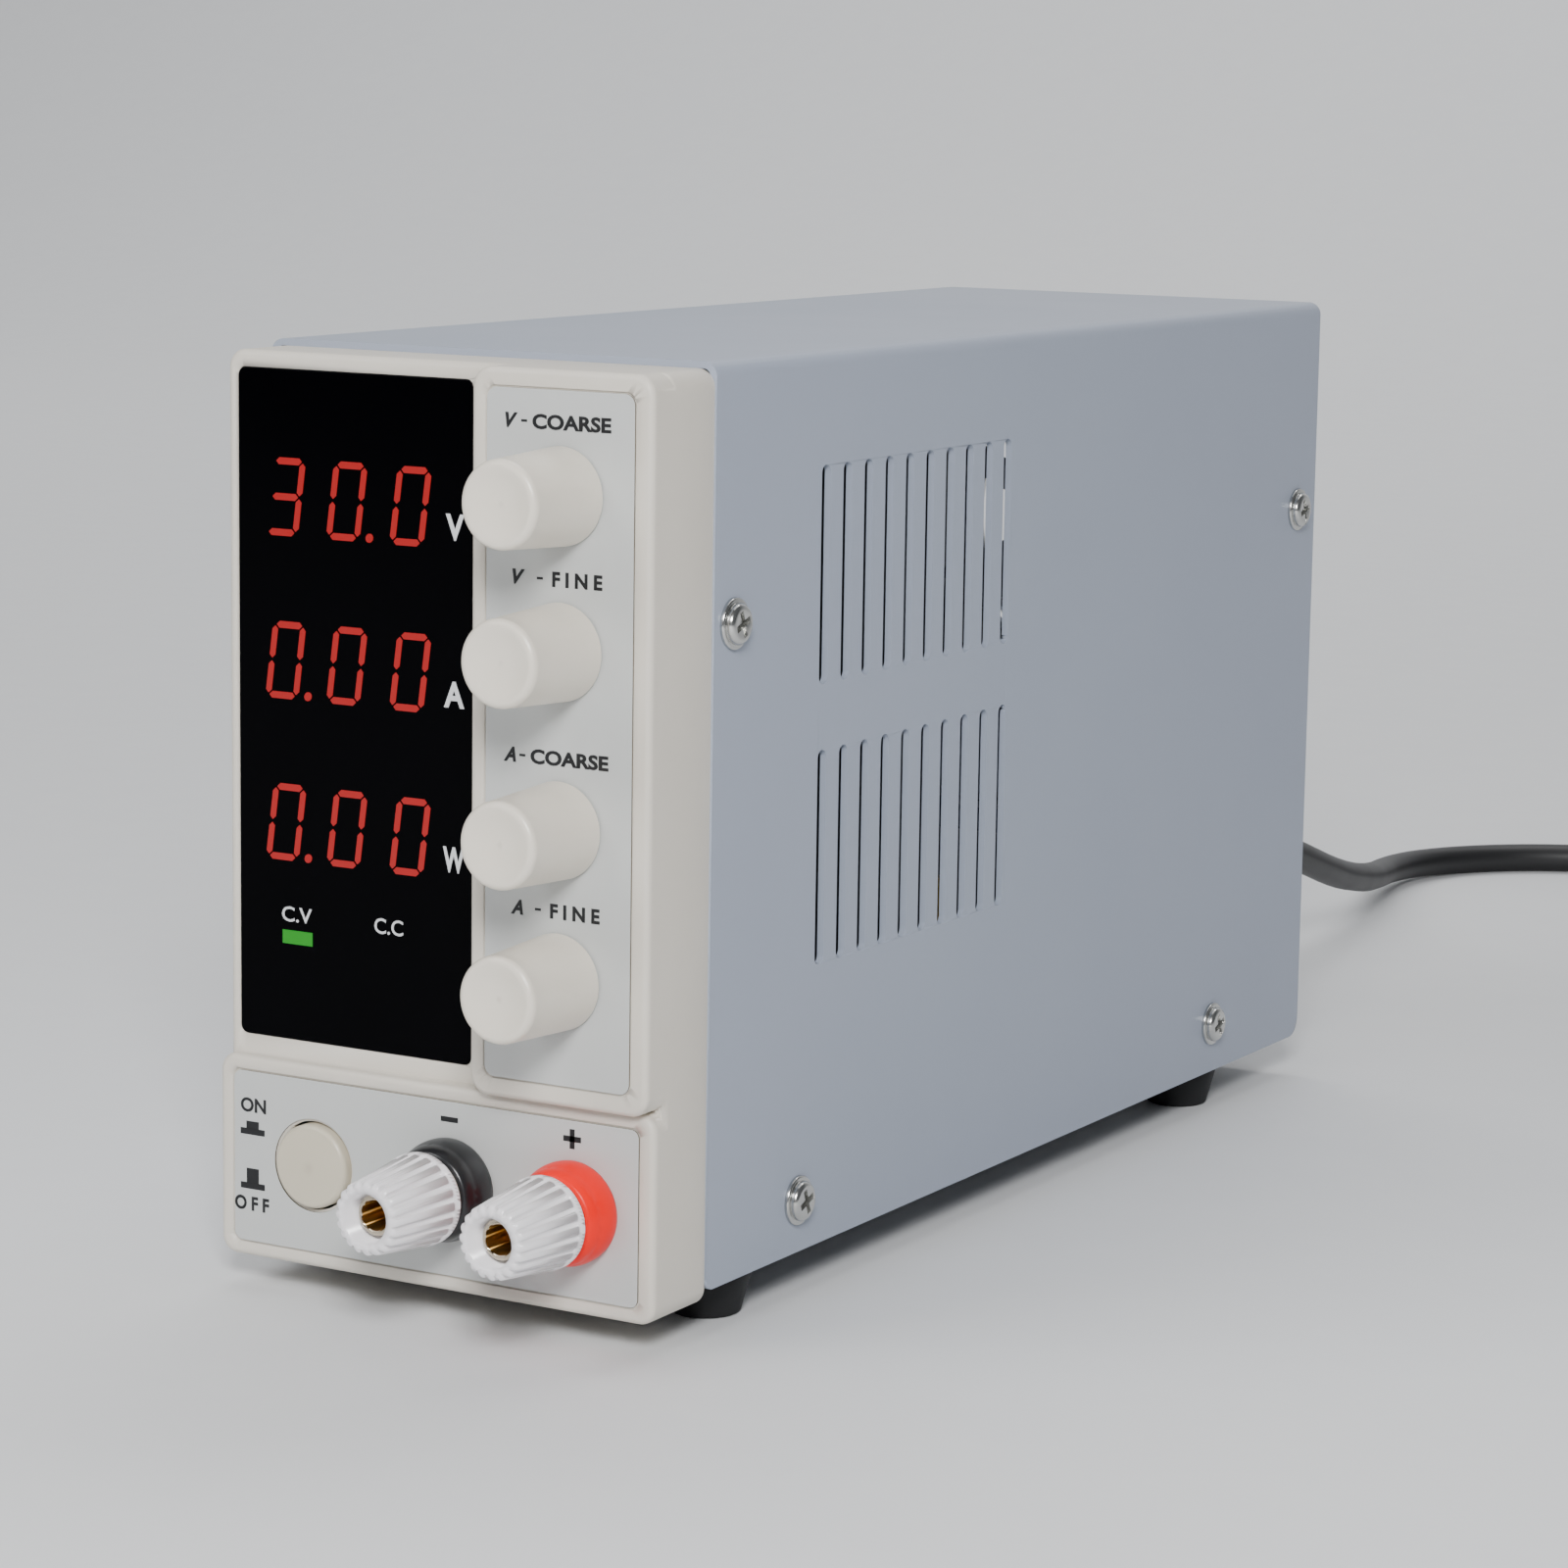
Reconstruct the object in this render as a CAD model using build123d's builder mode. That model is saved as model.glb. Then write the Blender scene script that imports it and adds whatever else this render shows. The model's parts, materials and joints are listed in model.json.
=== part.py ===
from build123d import *
from math import cos, pi, radians, sin, sqrt, tan
import os

os.makedirs("parts", exist_ok=True)

# Bench power supply with three LED readouts, four knobs, a latching mains button and two
# binding posts, a folded steel case and a mains lead.
# Millimetres. +Z up, the user stands on the -Y side, origin on the floor under the middle of the
# supply. "Behind" and "front" distances are measured from the display face towards the rear.

# ---------------------------------------------------------------- driving dimensions
case_width = 69.0
case_height = 122.0
body_depth = 199.5            # display face to the rear edge of the cover
case_bottom = 4.4             # the bezel stands this far above the floor, on the feet
terminal_step = 2.45          # the terminal area stands proud of the display face
column_step = 4.55            # the knob column stands proud of the display face
post_reach = 19.3             # binding post caps, in front of the terminal area
rear_reach = 3.2              # fan screw heads, behind the rear edge of the cover

wall = 2.0                    # bezel wall
sheet = 1.0                   # chassis sheet steel
cover_sheet = 0.93            # cover sheet steel
cover_proud = 0.3             # the cover's sides stand outside the bezel's by this much
bezel_depth = 10.1            # display face to the front edge of the cover
lip_depth = 1.9               # bezel lip under the cover
edge_round = 0.9              # moulded edges of the bezel

step_top = 32.1               # top of the terminal area
column_left = 7.3             # left side of the knob column
window_size = (37.3, 89.5)
window_centre = (-14.1, 79.35)
window_thickness = 1.5
knob_label_size = (22.3, 89.2)
knob_label_centre = (20.8, 79.4)
terminal_label_size = (64.4, 23.7)
terminal_label_centre = (0.0, 18.3)
label_thickness = 0.3
label_gap = 0.15
window_corner = 1.1
knob_label_corner = 1.5
terminal_label_corner = 1.2

knob_x = 21.05
knob_heights = {"voltage_coarse": 110.6, "voltage_fine": 90.9, "current_coarse": 68.1, "current_fine": 48.5}
knob_base_radius = 6.32
knob_tip_radius = 5.66
knob_length = 14.2
knob_gap = 0.3                # between the knob and the panel
shaft_radius = 3.0
running = 0.05                # radial clearance of turning and sliding fits

readout_x = -15.15
readout_heights = (107.35, 85.7, 64.0)
readout_size = (30.0, 14.0, 6.0)
readout_front = 1.9
indicator_height = 48.45
indicator_x = (-23.2, -8.4)
board_thickness = 1.6

button_place = (-19.0, 18.4)
button_radius = 5.7
button_hole = 6.05
button_label_hole = 6.35
button_proud = 1.2            # in front of the terminal area while latched in
button_out = 3.2              # travel from latched in to released
button_press = 0.6            # over-travel when pressed home
plunger_radius = 1.7

post_places = {"negative": (3.15, 18.5), "positive": (22.25, 18.1)}
collar_radius = 6.85
collar_length = 5.4
socket_bore = 2.025           # takes a 4 mm banana plug
socket_tube = 2.68
stud_radius = 3.0
cap_base_radius = 6.2
cap_tip_radius = 4.9
cap_mouth = 3.3
washer_thickness = 0.8

foot_x = 27.6
foot_behind = (21.9, 168.5)
foot_top_radius = 6.4
foot_base_radius = 4.7
cover_bottom = 6.35
cover_screws_at = ((14.9, 93.6), (192.4, 94.3), (33.6, 13.6), (165.2, 14.2))
screw_radius = 1.5            # M3
slot_first = 38.4
slot_pitch = 5.77
slot_count = 10
slot_width = 2.3
slot_rows = ((83.1, 112.4), (45.05, 74.3))

fan_size = 60.0
fan_depth = 15.0
fan_height = 89.4
fan_pitch = 50.0
inlet_height = 33.4
inlet_flange = (48.0, 22.0, 2.6)

cord_radius = 2.8
coil_radius = 31.0            # middle of the turns
coil_columns = 2
coil_layers = 3

# ---------------------------------------------------------------- derived places
case_top = case_bottom + case_height
half_width = case_width / 2
cover_half = half_width + cover_proud
chassis_half = cover_half - cover_sheet
case_middle = (case_bottom + case_top) / 2
total_depth = post_reach + terminal_step + body_depth + rear_reach
display_y = -total_depth / 2 + post_reach + terminal_step
lip_end = bezel_depth + lip_depth
panel_outer = body_depth - 1.0            # the rear panel sits 1 mm inside the cover
panel_inner = panel_outer - sheet
floor_top = cover_bottom + sheet          # inside of the base pan
board_front = readout_front + readout_size[2]
column_wall_back = -column_step + wall
terminal_wall_back = -terminal_step + wall


def front_plane(behind):
    """Plane that faces the user, this far behind the display face."""
    return Plane.XZ.offset(-(display_y + behind))


def turning_plane(x, z):
    """Plane through a front-to-back axis: local X is the radius, local Y the distance behind."""
    return Plane(origin=(x, display_y, z), x_dir=(1, 0, 0), z_dir=(0, 0, 1))


def turning_axis(x, z):
    return Axis((x, display_y, z), (0, 1, 0))


def block(low, high, mode=Mode.ADD):
    """A box between two corners, given as (x, behind, z)."""
    middle = [(a + b) / 2 for a, b in zip(low, high)]
    size = [b - a for a, b in zip(low, high)]
    with Locations((middle[0], display_y + middle[1], middle[2])):
        Box(*size, mode=mode)


def rod(radius, x, z, front, back, mode=Mode.ADD):
    """A round bar or hole from front to back."""
    with Locations(Location((x, display_y + (front + back) / 2, z), (90, 0, 0))):
        Cylinder(radius, back - front, mode=mode)


def post(radius, x, behind, low, high, mode=Mode.ADD):
    """An upright round bar or hole."""
    with Locations((x, display_y + behind, (low + high) / 2)):
        Cylinder(radius, high - low, mode=mode)


def turned(x, z, outline):
    """A turned piece: its outline of (radius, behind) points spun about a front-to-back axis."""
    with BuildSketch(turning_plane(x, z)) as profile:
        with BuildLine():
            Polyline(*outline, close=True)
        make_face()
    revolve(profile.sketch, axis=turning_axis(x, z))


def domed(radius, edge, top):
    """Arc in a turned outline from (radius, edge) to the axis at top, with its centre on the axis."""
    sphere = (radius ** 2 + (edge - top) ** 2) / (2 * (edge - top))
    halfway = top + sphere * (1 - sqrt(1 - (radius / (2 * sphere)) ** 2))
    return ThreePointArc((radius, edge), (radius / 2, halfway), (0, top))


def save(builder, name):
    builder.part.label = name
    export_step(builder.part, f"parts/{name}.step")


# ---------------------------------------------------------------- front bezel
def bezel_level(size, centre, proud, corner):
    """One level of the front, as a solid block with rounded front edges."""
    with BuildPart() as level:
        with BuildSketch(front_plane(bezel_depth)):
            with Locations(centre):
                RectangleRounded(*size, corner)
        extrude(amount=bezel_depth + proud)
        fillet(level.faces().sort_by(Axis.Y)[0].edges(), edge_round)
    return level.part


column_size = (half_width - column_left, case_top - step_top)
column_centre = ((half_width + column_left) / 2, (case_top + step_top) / 2)
terminal_size = (case_width, step_top - case_bottom)
terminal_centre = (0, (step_top + case_bottom) / 2)
display_level = bezel_level((case_width, case_height), (0, case_middle), 0, 2.4)
terminal_level = bezel_level(terminal_size, terminal_centre, terminal_step, 2.4)
column_level = bezel_level(column_size, column_centre, column_step, 2.8)

boss_places = [(x, z) for x in (-30, 30) for z in (36, 121)]
board_boss_places = [(6.5, z) for z in (45.0, 79.5, 114.0)]
inner_half = half_width - wall
inner_bottom = case_bottom + wall
inner_top = case_top - wall

with BuildPart() as front_bezel:
    add(display_level)
    add(terminal_level)
    add(column_level)
    # lip that the cover slides over
    with BuildSketch(front_plane(lip_end)):
        with Locations((0, case_middle)):
            RectangleRounded(case_width - 2.1, case_height - 2.1, 1.2)
    extrude(amount=lip_depth)
    # hollow behind the display frame, the knob column and the terminal area
    block((-inner_half, 3.0, inner_bottom), (inner_half, lip_end, inner_top), Mode.SUBTRACT)
    block((column_left + wall, column_wall_back, step_top + wall), (inner_half, 3.0, inner_top),
          Mode.SUBTRACT)
    block((-inner_half, terminal_wall_back, inner_bottom), (inner_half, 3.0, step_top - wall),
          Mode.SUBTRACT)
    # recesses for the window and the two label plates
    with BuildSketch(front_plane(window_thickness)):
        with Locations(window_centre):
            RectangleRounded(window_size[0] + 0.2, window_size[1] + 0.2, window_corner)
    extrude(amount=window_thickness + 0.1, mode=Mode.SUBTRACT)
    with BuildSketch(front_plane(-column_step + label_thickness)):
        with Locations(knob_label_centre):
            RectangleRounded(*[side + 2 * label_gap for side in knob_label_size], knob_label_corner)
    extrude(amount=label_thickness + 0.1, mode=Mode.SUBTRACT)
    with BuildSketch(front_plane(-terminal_step + label_thickness)):
        with Locations(terminal_label_centre):
            RectangleRounded(*[side + 2 * label_gap for side in terminal_label_size], terminal_label_corner)
    extrude(amount=label_thickness + 0.1, mode=Mode.SUBTRACT)
    # opening for the readouts and the two indicator lamps
    block((-30.7, 1.0, 56.4), (0.4, 3.5, 115.0), Mode.SUBTRACT)
    for x in indicator_x:
        block((x - 2.8, 1.0, indicator_height - 1.2), (x + 2.8, 3.5, indicator_height + 1.2), Mode.SUBTRACT)
    # bosses for the self-tapping screws
    for x, z in boss_places:
        rod(2.6, x, z, column_wall_back if x > 0 else 2.5, lip_end)
        rod(1.2, x, z, 4.5, lip_end, Mode.SUBTRACT)
    for x, z in board_boss_places:
        rod(2.4, x, z, 2.0, board_front)
        rod(1.2, x, z, 3.5, board_front, Mode.SUBTRACT)
    # holes for the pot bushings, the button and the binding posts
    for z in knob_heights.values():
        rod(3.8, knob_x, z, -column_step - 1, column_wall_back + 0.5, Mode.SUBTRACT)
    rod(button_hole, *button_place, -terminal_step - 1, 3.0, Mode.SUBTRACT)
    for x, z in post_places.values():
        rod(4.0, x, z, -terminal_step - 1, 3.0, Mode.SUBTRACT)
save(front_bezel, "front_bezel")

with BuildPart() as display_window:
    with BuildSketch(front_plane(window_thickness)):
        with Locations(window_centre):
            RectangleRounded(*window_size, window_corner)
    extrude(amount=window_thickness)
save(display_window, "display_window")

with BuildPart() as knob_label_plate:
    with BuildSketch(front_plane(-column_step + label_thickness)):
        with Locations(knob_label_centre):
            RectangleRounded(*knob_label_size, knob_label_corner)
        with Locations(*[(knob_x, z) for z in knob_heights.values()]):
            Circle(3.8, mode=Mode.SUBTRACT)
    extrude(amount=label_thickness)
save(knob_label_plate, "knob_label_plate")

with BuildPart() as terminal_label_plate:
    with BuildSketch(front_plane(-terminal_step + label_thickness)):
        with Locations(terminal_label_centre):
            RectangleRounded(*terminal_label_size, terminal_label_corner)
        with Locations(button_place):
            Circle(button_label_hole, mode=Mode.SUBTRACT)
        with Locations(*post_places.values()):
            Circle(4.0, mode=Mode.SUBTRACT)
    extrude(amount=label_thickness)
save(terminal_label_plate, "terminal_label_plate")

# ---------------------------------------------------------------- folded steel case
cover_top = case_top + cover_sheet

with BuildPart() as top_cover:
    # the sheet is a channel that opens downwards, with rounded bends along its top edges
    with BuildSketch(front_plane(body_depth)):
        with BuildLine():
            Polyline((-cover_half, cover_bottom), (-cover_half, cover_top), (cover_half, cover_top),
                     (cover_half, cover_bottom))
            fillet(vertices().group_by(Axis.Y)[-1], 2.0)
            offset(amount=cover_sheet, side=Side.RIGHT)
        make_face()
    extrude(amount=body_depth - bezel_depth)
    # the side sheets have a small radius at the front corner and a larger one at the rear
    side_corners = edges().filter_by(Axis.X).group_by(Axis.Z)[0]
    fillet(side_corners.group_by(Axis.Y)[0], 1.6)
    fillet(side_corners.group_by(Axis.Y)[-1], 3.0)
    # two rows of vent slots through both sides
    with BuildSketch(Plane.YZ.offset(-cover_half - 1)):
        for low, high in slot_rows:
            with Locations((display_y + slot_first, (low + high) / 2)):
                with GridLocations(slot_pitch, 1, slot_count, 1, align=(Align.MIN, Align.CENTER)):
                    SlotOverall(high - low, slot_width, rotation=90)
    extrude(amount=2 * cover_half + 2, mode=Mode.SUBTRACT)
    for behind, z in cover_screws_at:
        with Locations(Location((0, display_y + behind, z), (0, 90, 0))):
            Cylinder(screw_radius + 0.1, 2 * cover_half + 2, mode=Mode.SUBTRACT)
save(top_cover, "top_cover")

pan_flange_top = 22.0
chassis_screw_places = [(x, behind) for x in (-foot_x, foot_x) for behind in foot_behind]
panel_screw_places = [(-3, 18), (17, 18), (-20, 191), (20, 191)]
standoff_places = [(x, behind) for x in (-25, 25) for behind in (38, 158)]
standoff_height = 6.0
board_bottom = floor_top + standoff_height
board_top = board_bottom + board_thickness

with BuildPart() as base_pan:
    block((-chassis_half, lip_end, cover_bottom), (chassis_half, panel_outer, floor_top))
    for side in (-1, 1):
        inner, outer = sorted((side * (chassis_half - sheet), side * chassis_half))
        block((inner, lip_end, cover_bottom), (outer, panel_outer, pan_flange_top))
    outer_bends = edges().filter_by(Axis.Y).group_by(Axis.Z)[0]
    fillet(outer_bends, 0.8)
    for x, behind in chassis_screw_places + panel_screw_places:
        post(screw_radius + 0.1, x, behind, cover_bottom - 1, floor_top + 1, Mode.SUBTRACT)
    for behind, z in cover_screws_at[2:]:
        with Locations(Location((0, display_y + behind, z), (0, 90, 0))):
            Cylinder(screw_radius + 0.1, 2 * chassis_half + 2, mode=Mode.SUBTRACT)
    # slots under the main board let cooling air in
    for behind in range(60, 150, 12):
        block((-20, behind, cover_bottom - 1), (20, behind + 3, floor_top + 1), Mode.SUBTRACT)
save(base_pan, "base_pan")

plate_top = case_top - 2.0
ear_low, ear_high = 84.0, 104.0

with BuildPart() as front_plate:
    block((-chassis_half + sheet + 0.1, lip_end, floor_top),
          (chassis_half - sheet - 0.1, lip_end + sheet, pan_flange_top + 1))
    block((-chassis_half + 0.05, lip_end, pan_flange_top + 0.5),
          (chassis_half - 0.05, lip_end + sheet, plate_top))
    for side in (-1, 1):
        inner, outer = sorted((side * (chassis_half - sheet), side * (chassis_half - 0.05)))
        block((inner, lip_end, ear_low), (outer, lip_end + 12, ear_high))
    block((-6, lip_end, floor_top), (23, lip_end + 11, floor_top + sheet))
    block((-27, lip_end - 1, 40), (27, lip_end + 2, 118), Mode.SUBTRACT)
    block((-4, lip_end - 1, 10), (30, lip_end + 2, 27), Mode.SUBTRACT)
    rod(2.6, *button_place, lip_end - 1, lip_end + 2, Mode.SUBTRACT)
    for x, z in boss_places:
        rod(screw_radius, x, z, lip_end - 1, lip_end + 2, Mode.SUBTRACT)
    for x, behind in panel_screw_places[:2]:
        post(screw_radius + 0.1, x, behind, floor_top - 1, floor_top + 2, Mode.SUBTRACT)
    behind, z = cover_screws_at[0]
    with Locations(Location((0, display_y + behind, z), (0, 90, 0))):
        Cylinder(screw_radius + 0.1, 2 * chassis_half, mode=Mode.SUBTRACT)
save(front_plate, "front_plate")

inlet_cutout = (28.2, 20.6)
inlet_screw_x = 20.0

with BuildPart() as rear_panel:
    block((-chassis_half + sheet + 0.1, panel_inner, floor_top),
          (chassis_half - sheet - 0.1, panel_outer, pan_flange_top + 1))
    block((-chassis_half + 0.05, panel_inner, pan_flange_top + 0.5),
          (chassis_half - 0.05, panel_outer, case_top - 0.1))
    for side in (-1, 1):
        inner, outer = sorted((side * (chassis_half - sheet), side * (chassis_half - 0.05)))
        block((inner, panel_inner - 10, ear_low), (outer, panel_outer, ear_high))
    block((-30, panel_inner - 11, floor_top), (30, panel_outer, floor_top + sheet))
    rod(fan_size / 2 - 2.2, 0, fan_height, panel_inner - 1, panel_outer + 1, Mode.SUBTRACT)
    for dx in (-fan_pitch / 2, fan_pitch / 2):
        for dz in (-fan_pitch / 2, fan_pitch / 2):
            rod(screw_radius + 0.6, dx, fan_height + dz, panel_inner - 1, panel_outer + 1, Mode.SUBTRACT)
    block((-inlet_cutout[0] / 2, panel_inner - 1, inlet_height - inlet_cutout[1] / 2),
          (inlet_cutout[0] / 2, panel_outer + 1, inlet_height + inlet_cutout[1] / 2), Mode.SUBTRACT)
    for x in (-inlet_screw_x, inlet_screw_x):
        rod(screw_radius + 0.1, x, inlet_height, panel_inner - 1, panel_outer + 1, Mode.SUBTRACT)
    for x, behind in panel_screw_places[2:]:
        post(screw_radius + 0.1, x, behind, floor_top - 1, floor_top + 2, Mode.SUBTRACT)
    behind, z = cover_screws_at[1]
    with Locations(Location((0, display_y + behind, z), (0, 90, 0))):
        Cylinder(screw_radius + 0.1, 2 * chassis_half, mode=Mode.SUBTRACT)
save(rear_panel, "rear_panel")

# ---------------------------------------------------------------- feet and case screws
with BuildPart() as rubber_feet:
    for x, behind in chassis_screw_places:
        with Locations((x, display_y + behind, cover_bottom / 2)):
            Cone(foot_base_radius, foot_top_radius, cover_bottom)
    fillet(faces().sort_by(Axis.Z)[:4].edges(), 0.7)
    for x, behind in chassis_screw_places:
        post(3.2, x, behind, -1, 3.0, Mode.SUBTRACT)
        post(screw_radius + 0.1, x, behind, 0, cover_bottom + 1, Mode.SUBTRACT)
save(rubber_feet, "rubber_feet")

with BuildPart() as chassis_screws:
    for x, behind in chassis_screw_places:
        post(2.8, x, behind, 1.2, 3.0)
        post(screw_radius, x, behind, 3.0, floor_top + 4.0)
        post(2.9, x, behind, floor_top, floor_top + 2.4)
    for x, behind in panel_screw_places:
        post(2.8, x, behind, cover_bottom - 1.8, cover_bottom)
        post(screw_radius, x, behind, cover_bottom, floor_top + 3.6)
    for x, behind in standoff_places:
        post(2.8, x, behind, board_top, board_top + 2.0)
        post(screw_radius, x, behind, board_top - 5.0, board_top)
save(chassis_screws, "chassis_screws")

flange_radius = 3.41
flange_rise = 0.6
screw_head_radius = 2.75
screw_head_rise = 1.6
cover_screw_reach = 4.4                 # the shank ends clear of the fan frame
recess_size = (3.5, 0.9)
recess_turn = 20


def cover_screw_seats(rise=0.0):
    """Planes on both sides of the cover, one for each screw, this far out from the sheet."""
    for side in (-1, 1):
        for behind, z in cover_screws_at:
            yield Plane(origin=(side * (cover_half + rise), display_y + behind, z), x_dir=(0, 1, 0),
                        z_dir=(side, 0, 0))


with BuildPart() as cover_screws:
    # pan heads with a washer flange
    for radius, rise, rounding in ((flange_radius, flange_rise, 0.3),
                                   (screw_head_radius, screw_head_rise, 0.8)):
        for seat in cover_screw_seats():
            with BuildSketch(seat):
                Circle(radius)
            extrude(amount=rise)
        rims = edges().filter_by(GeomType.CIRCLE)
        fillet(rims.filter_by(lambda rim: abs(abs(rim.center().X) - cover_half - rise) < 0.01), rounding)
    for seat in cover_screw_seats():
        with BuildSketch(seat):
            Circle(screw_radius)
        extrude(amount=-cover_screw_reach)
    for top in cover_screw_seats(screw_head_rise):
        with BuildSketch(top):
            Rectangle(*recess_size, rotation=recess_turn)
            Rectangle(*recess_size, rotation=recess_turn + 90)
        extrude(amount=-1.3, mode=Mode.SUBTRACT)
save(cover_screws, "cover_screws")

with BuildPart() as bezel_screws:
    for x, z in boss_places:
        rod(1.15, x, z, 5.0, lip_end + sheet)
        rod(2.7, x, z, lip_end + sheet, lip_end + sheet + 1.8)
    for x, z in board_boss_places:
        rod(1.15, x, z, 4.0, board_front + board_thickness)
        rod(2.3, x, z, board_front + board_thickness, board_front + board_thickness + 1.6)
save(bezel_screws, "bezel_screws")

# ---------------------------------------------------------------- readouts and control board
with BuildPart() as readout_modules:
    for z in readout_heights:
        block((readout_x - readout_size[0] / 2, readout_front, z - readout_size[1] / 2),
              (readout_x + readout_size[0] / 2, board_front, z + readout_size[1] / 2))
save(readout_modules, "readout_modules")

with BuildPart() as indicator_lamps:
    for x in indicator_x:
        block((x - 2.5, 1.6, indicator_height - 1.0), (x + 2.5, board_front, indicator_height + 1.0))
save(indicator_lamps, "indicator_lamps")

with BuildPart() as control_board:
    block((-31.5, board_front, 40), (31.5, board_front + board_thickness, 118))
    for x, z in board_boss_places:
        rod(1.3, x, z, board_front - 1, board_front + board_thickness + 1, Mode.SUBTRACT)
    # controller, regulators and the header for the ribbon cable, on the rear of the board
    board_back = board_front + board_thickness
    block((-14, board_back, 74), (-4, board_back + 1.8, 84))
    block((12, board_back, 92), (18, board_back + 1.8, 96))
    block((12, board_back, 60), (18, board_back + 1.8, 64))
    block((-22.5, board_back, 47), (-5.5, board_back + 5, 52))
save(control_board, "control_board")

pot_front = 0.9
with BuildPart() as potentiometers:
    for z in knob_heights.values():
        rod(8.0, knob_x, z, pot_front, board_front)
        rod(5.0, knob_x, z, column_wall_back + 0.05, pot_front)
        rod(3.45, knob_x, z, -column_step + 0.3, column_wall_back + 0.05)
        rod(shaft_radius + running, knob_x, z, -column_step, 5.4, Mode.SUBTRACT)
save(potentiometers, "potentiometers")

# ---------------------------------------------------------------- knobs and their shafts
knob_back = -column_step - knob_gap
knob_front = knob_back - knob_length
shaft_front = knob_front + 2.6
dish_radius = 4.8
dish_depth = 0.9

for name, z in knob_heights.items():
    with BuildPart() as knob_shaft:
        rod(shaft_radius, knob_x, z, shaft_front, 5.0)
        block((knob_x - 4, shaft_front, z + 1.5), (knob_x + 4, knob_back - 3.8, z + 4), Mode.SUBTRACT)
    save(knob_shaft, f"{name}_shaft")

    with BuildPart() as knob:
        with BuildSketch(turning_plane(knob_x, z)):
            with BuildLine():
                base = Line((0, knob_back), (knob_base_radius, knob_back))
                side = Line(base @ 1, (knob_tip_radius, knob_front + 1.1))
                ThreePointArc(side @ 1, (knob_tip_radius - 0.24, knob_front + 0.34),
                              (dish_radius, knob_front))
                dish = domed(dish_radius, knob_front, knob_front + dish_depth)
                Line(dish @ 1, base @ 0)
            make_face()
        revolve(axis=turning_axis(knob_x, z))
        rim = edges().filter_by(GeomType.CIRCLE).sort_by(Axis.Y)[0]
        fillet(rim, 0.8)
        # hollow skirt around the bushing, then a D-shaped bore for the shaft
        rod(4.9, knob_x, z, knob_back - 4.0, knob_back + 1, Mode.SUBTRACT)
        with BuildSketch(front_plane(knob_back)):
            with Locations((knob_x, z)):
                Circle(shaft_radius + 0.03)
            with Locations((knob_x, z + 1.55 + 2.0)):
                Rectangle(8, 4.0, mode=Mode.SUBTRACT)
        extrude(amount=knob_back - shaft_front + 0.2, mode=Mode.SUBTRACT)
    save(knob, f"{name}_knob")

# ---------------------------------------------------------------- mains button and its switch
button_front = -terminal_step - button_proud
flange_front = terminal_wall_back + button_out + 0.4
flange_back = flange_front + 1.0
plate_back = lip_end + sheet
switch_back = plate_back + 15.0

with BuildPart() as power_button:
    with BuildSketch(turning_plane(*button_place)):
        with BuildLine():
            Polyline((0, button_front), (0, flange_back), (button_radius + 1.0, flange_back),
                     (button_radius + 1.0, flange_front), (button_radius, flange_front),
                     (button_radius, button_front + 0.9))
            ThreePointArc((button_radius, button_front + 0.9), (button_radius - 0.22, button_front + 0.42),
                          (button_radius - 0.8, button_front + 0.25))
            domed(button_radius - 0.8, button_front + 0.25, button_front)
        make_face()
    revolve(axis=turning_axis(*button_place))
    rod(plunger_radius, *button_place, flange_back - 0.5, plate_back + 5.0)
save(power_button, "power_button")

spring_wire = 0.25
spring_front = flange_back + button_press + 0.6
spring_length = lip_end - spring_front - 0.3
with BuildPart() as button_spring:
    with BuildLine():
        coil = Helix(pitch=spring_length / 5, height=spring_length, radius=3.4, direction=(0, 1, 0),
                     center=(button_place[0], display_y + spring_front, button_place[1]))
    with BuildSketch(Plane(origin=coil @ 0, z_dir=coil % 0)):
        Circle(spring_wire)
    sweep()
save(button_spring, "button_spring")

with BuildPart() as power_switch:
    block((button_place[0] - 7, plate_back, button_place[1] - 6.5),
          (button_place[0] + 7, switch_back, button_place[1] + 6.5))
    rod(plunger_radius + running, *button_place, plate_back - 1, plate_back + 9, Mode.SUBTRACT)
    for dx in (-4, 4):
        for dz in (-3, 3):
            block((button_place[0] + dx - 1, switch_back, button_place[1] + dz - 0.3),
                  (button_place[0] + dx + 1, switch_back + 4, button_place[1] + dz + 0.3))
save(power_switch, "power_switch")

# ---------------------------------------------------------------- binding posts
collar_front = -terminal_step - collar_length
washer_front = collar_front - washer_thickness - 0.3
cap_back = washer_front - 0.05
cap_front = -terminal_step - post_reach
tube_front = cap_front + 2.1
thread_front = cap_back - 7.5
stud_back = 9.5
flute_count = 20
flute_depth = 0.34
cap_band = 1.4                # smooth band at the base of each cap


def fluted(x, z, behind, radius):
    """Section of a fluted cap: broad rounded crests with narrow valleys between them."""
    step = 2 * pi / flute_count

    def place(distance, turns):
        return (x + distance * cos(turns * step), z + distance * sin(turns * step))

    with BuildSketch(front_plane(behind)) as section:
        with BuildLine():
            for k in range(flute_count):
                flank = radius - flute_depth / 2
                ThreePointArc(place(flank, k - 0.33), place(radius, k), place(flank, k + 0.33))
                ThreePointArc(place(flank, k + 0.33), place(radius - flute_depth, k + 0.5),
                              place(flank, k + 0.67))
        make_face()
    return section.sketch


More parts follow.
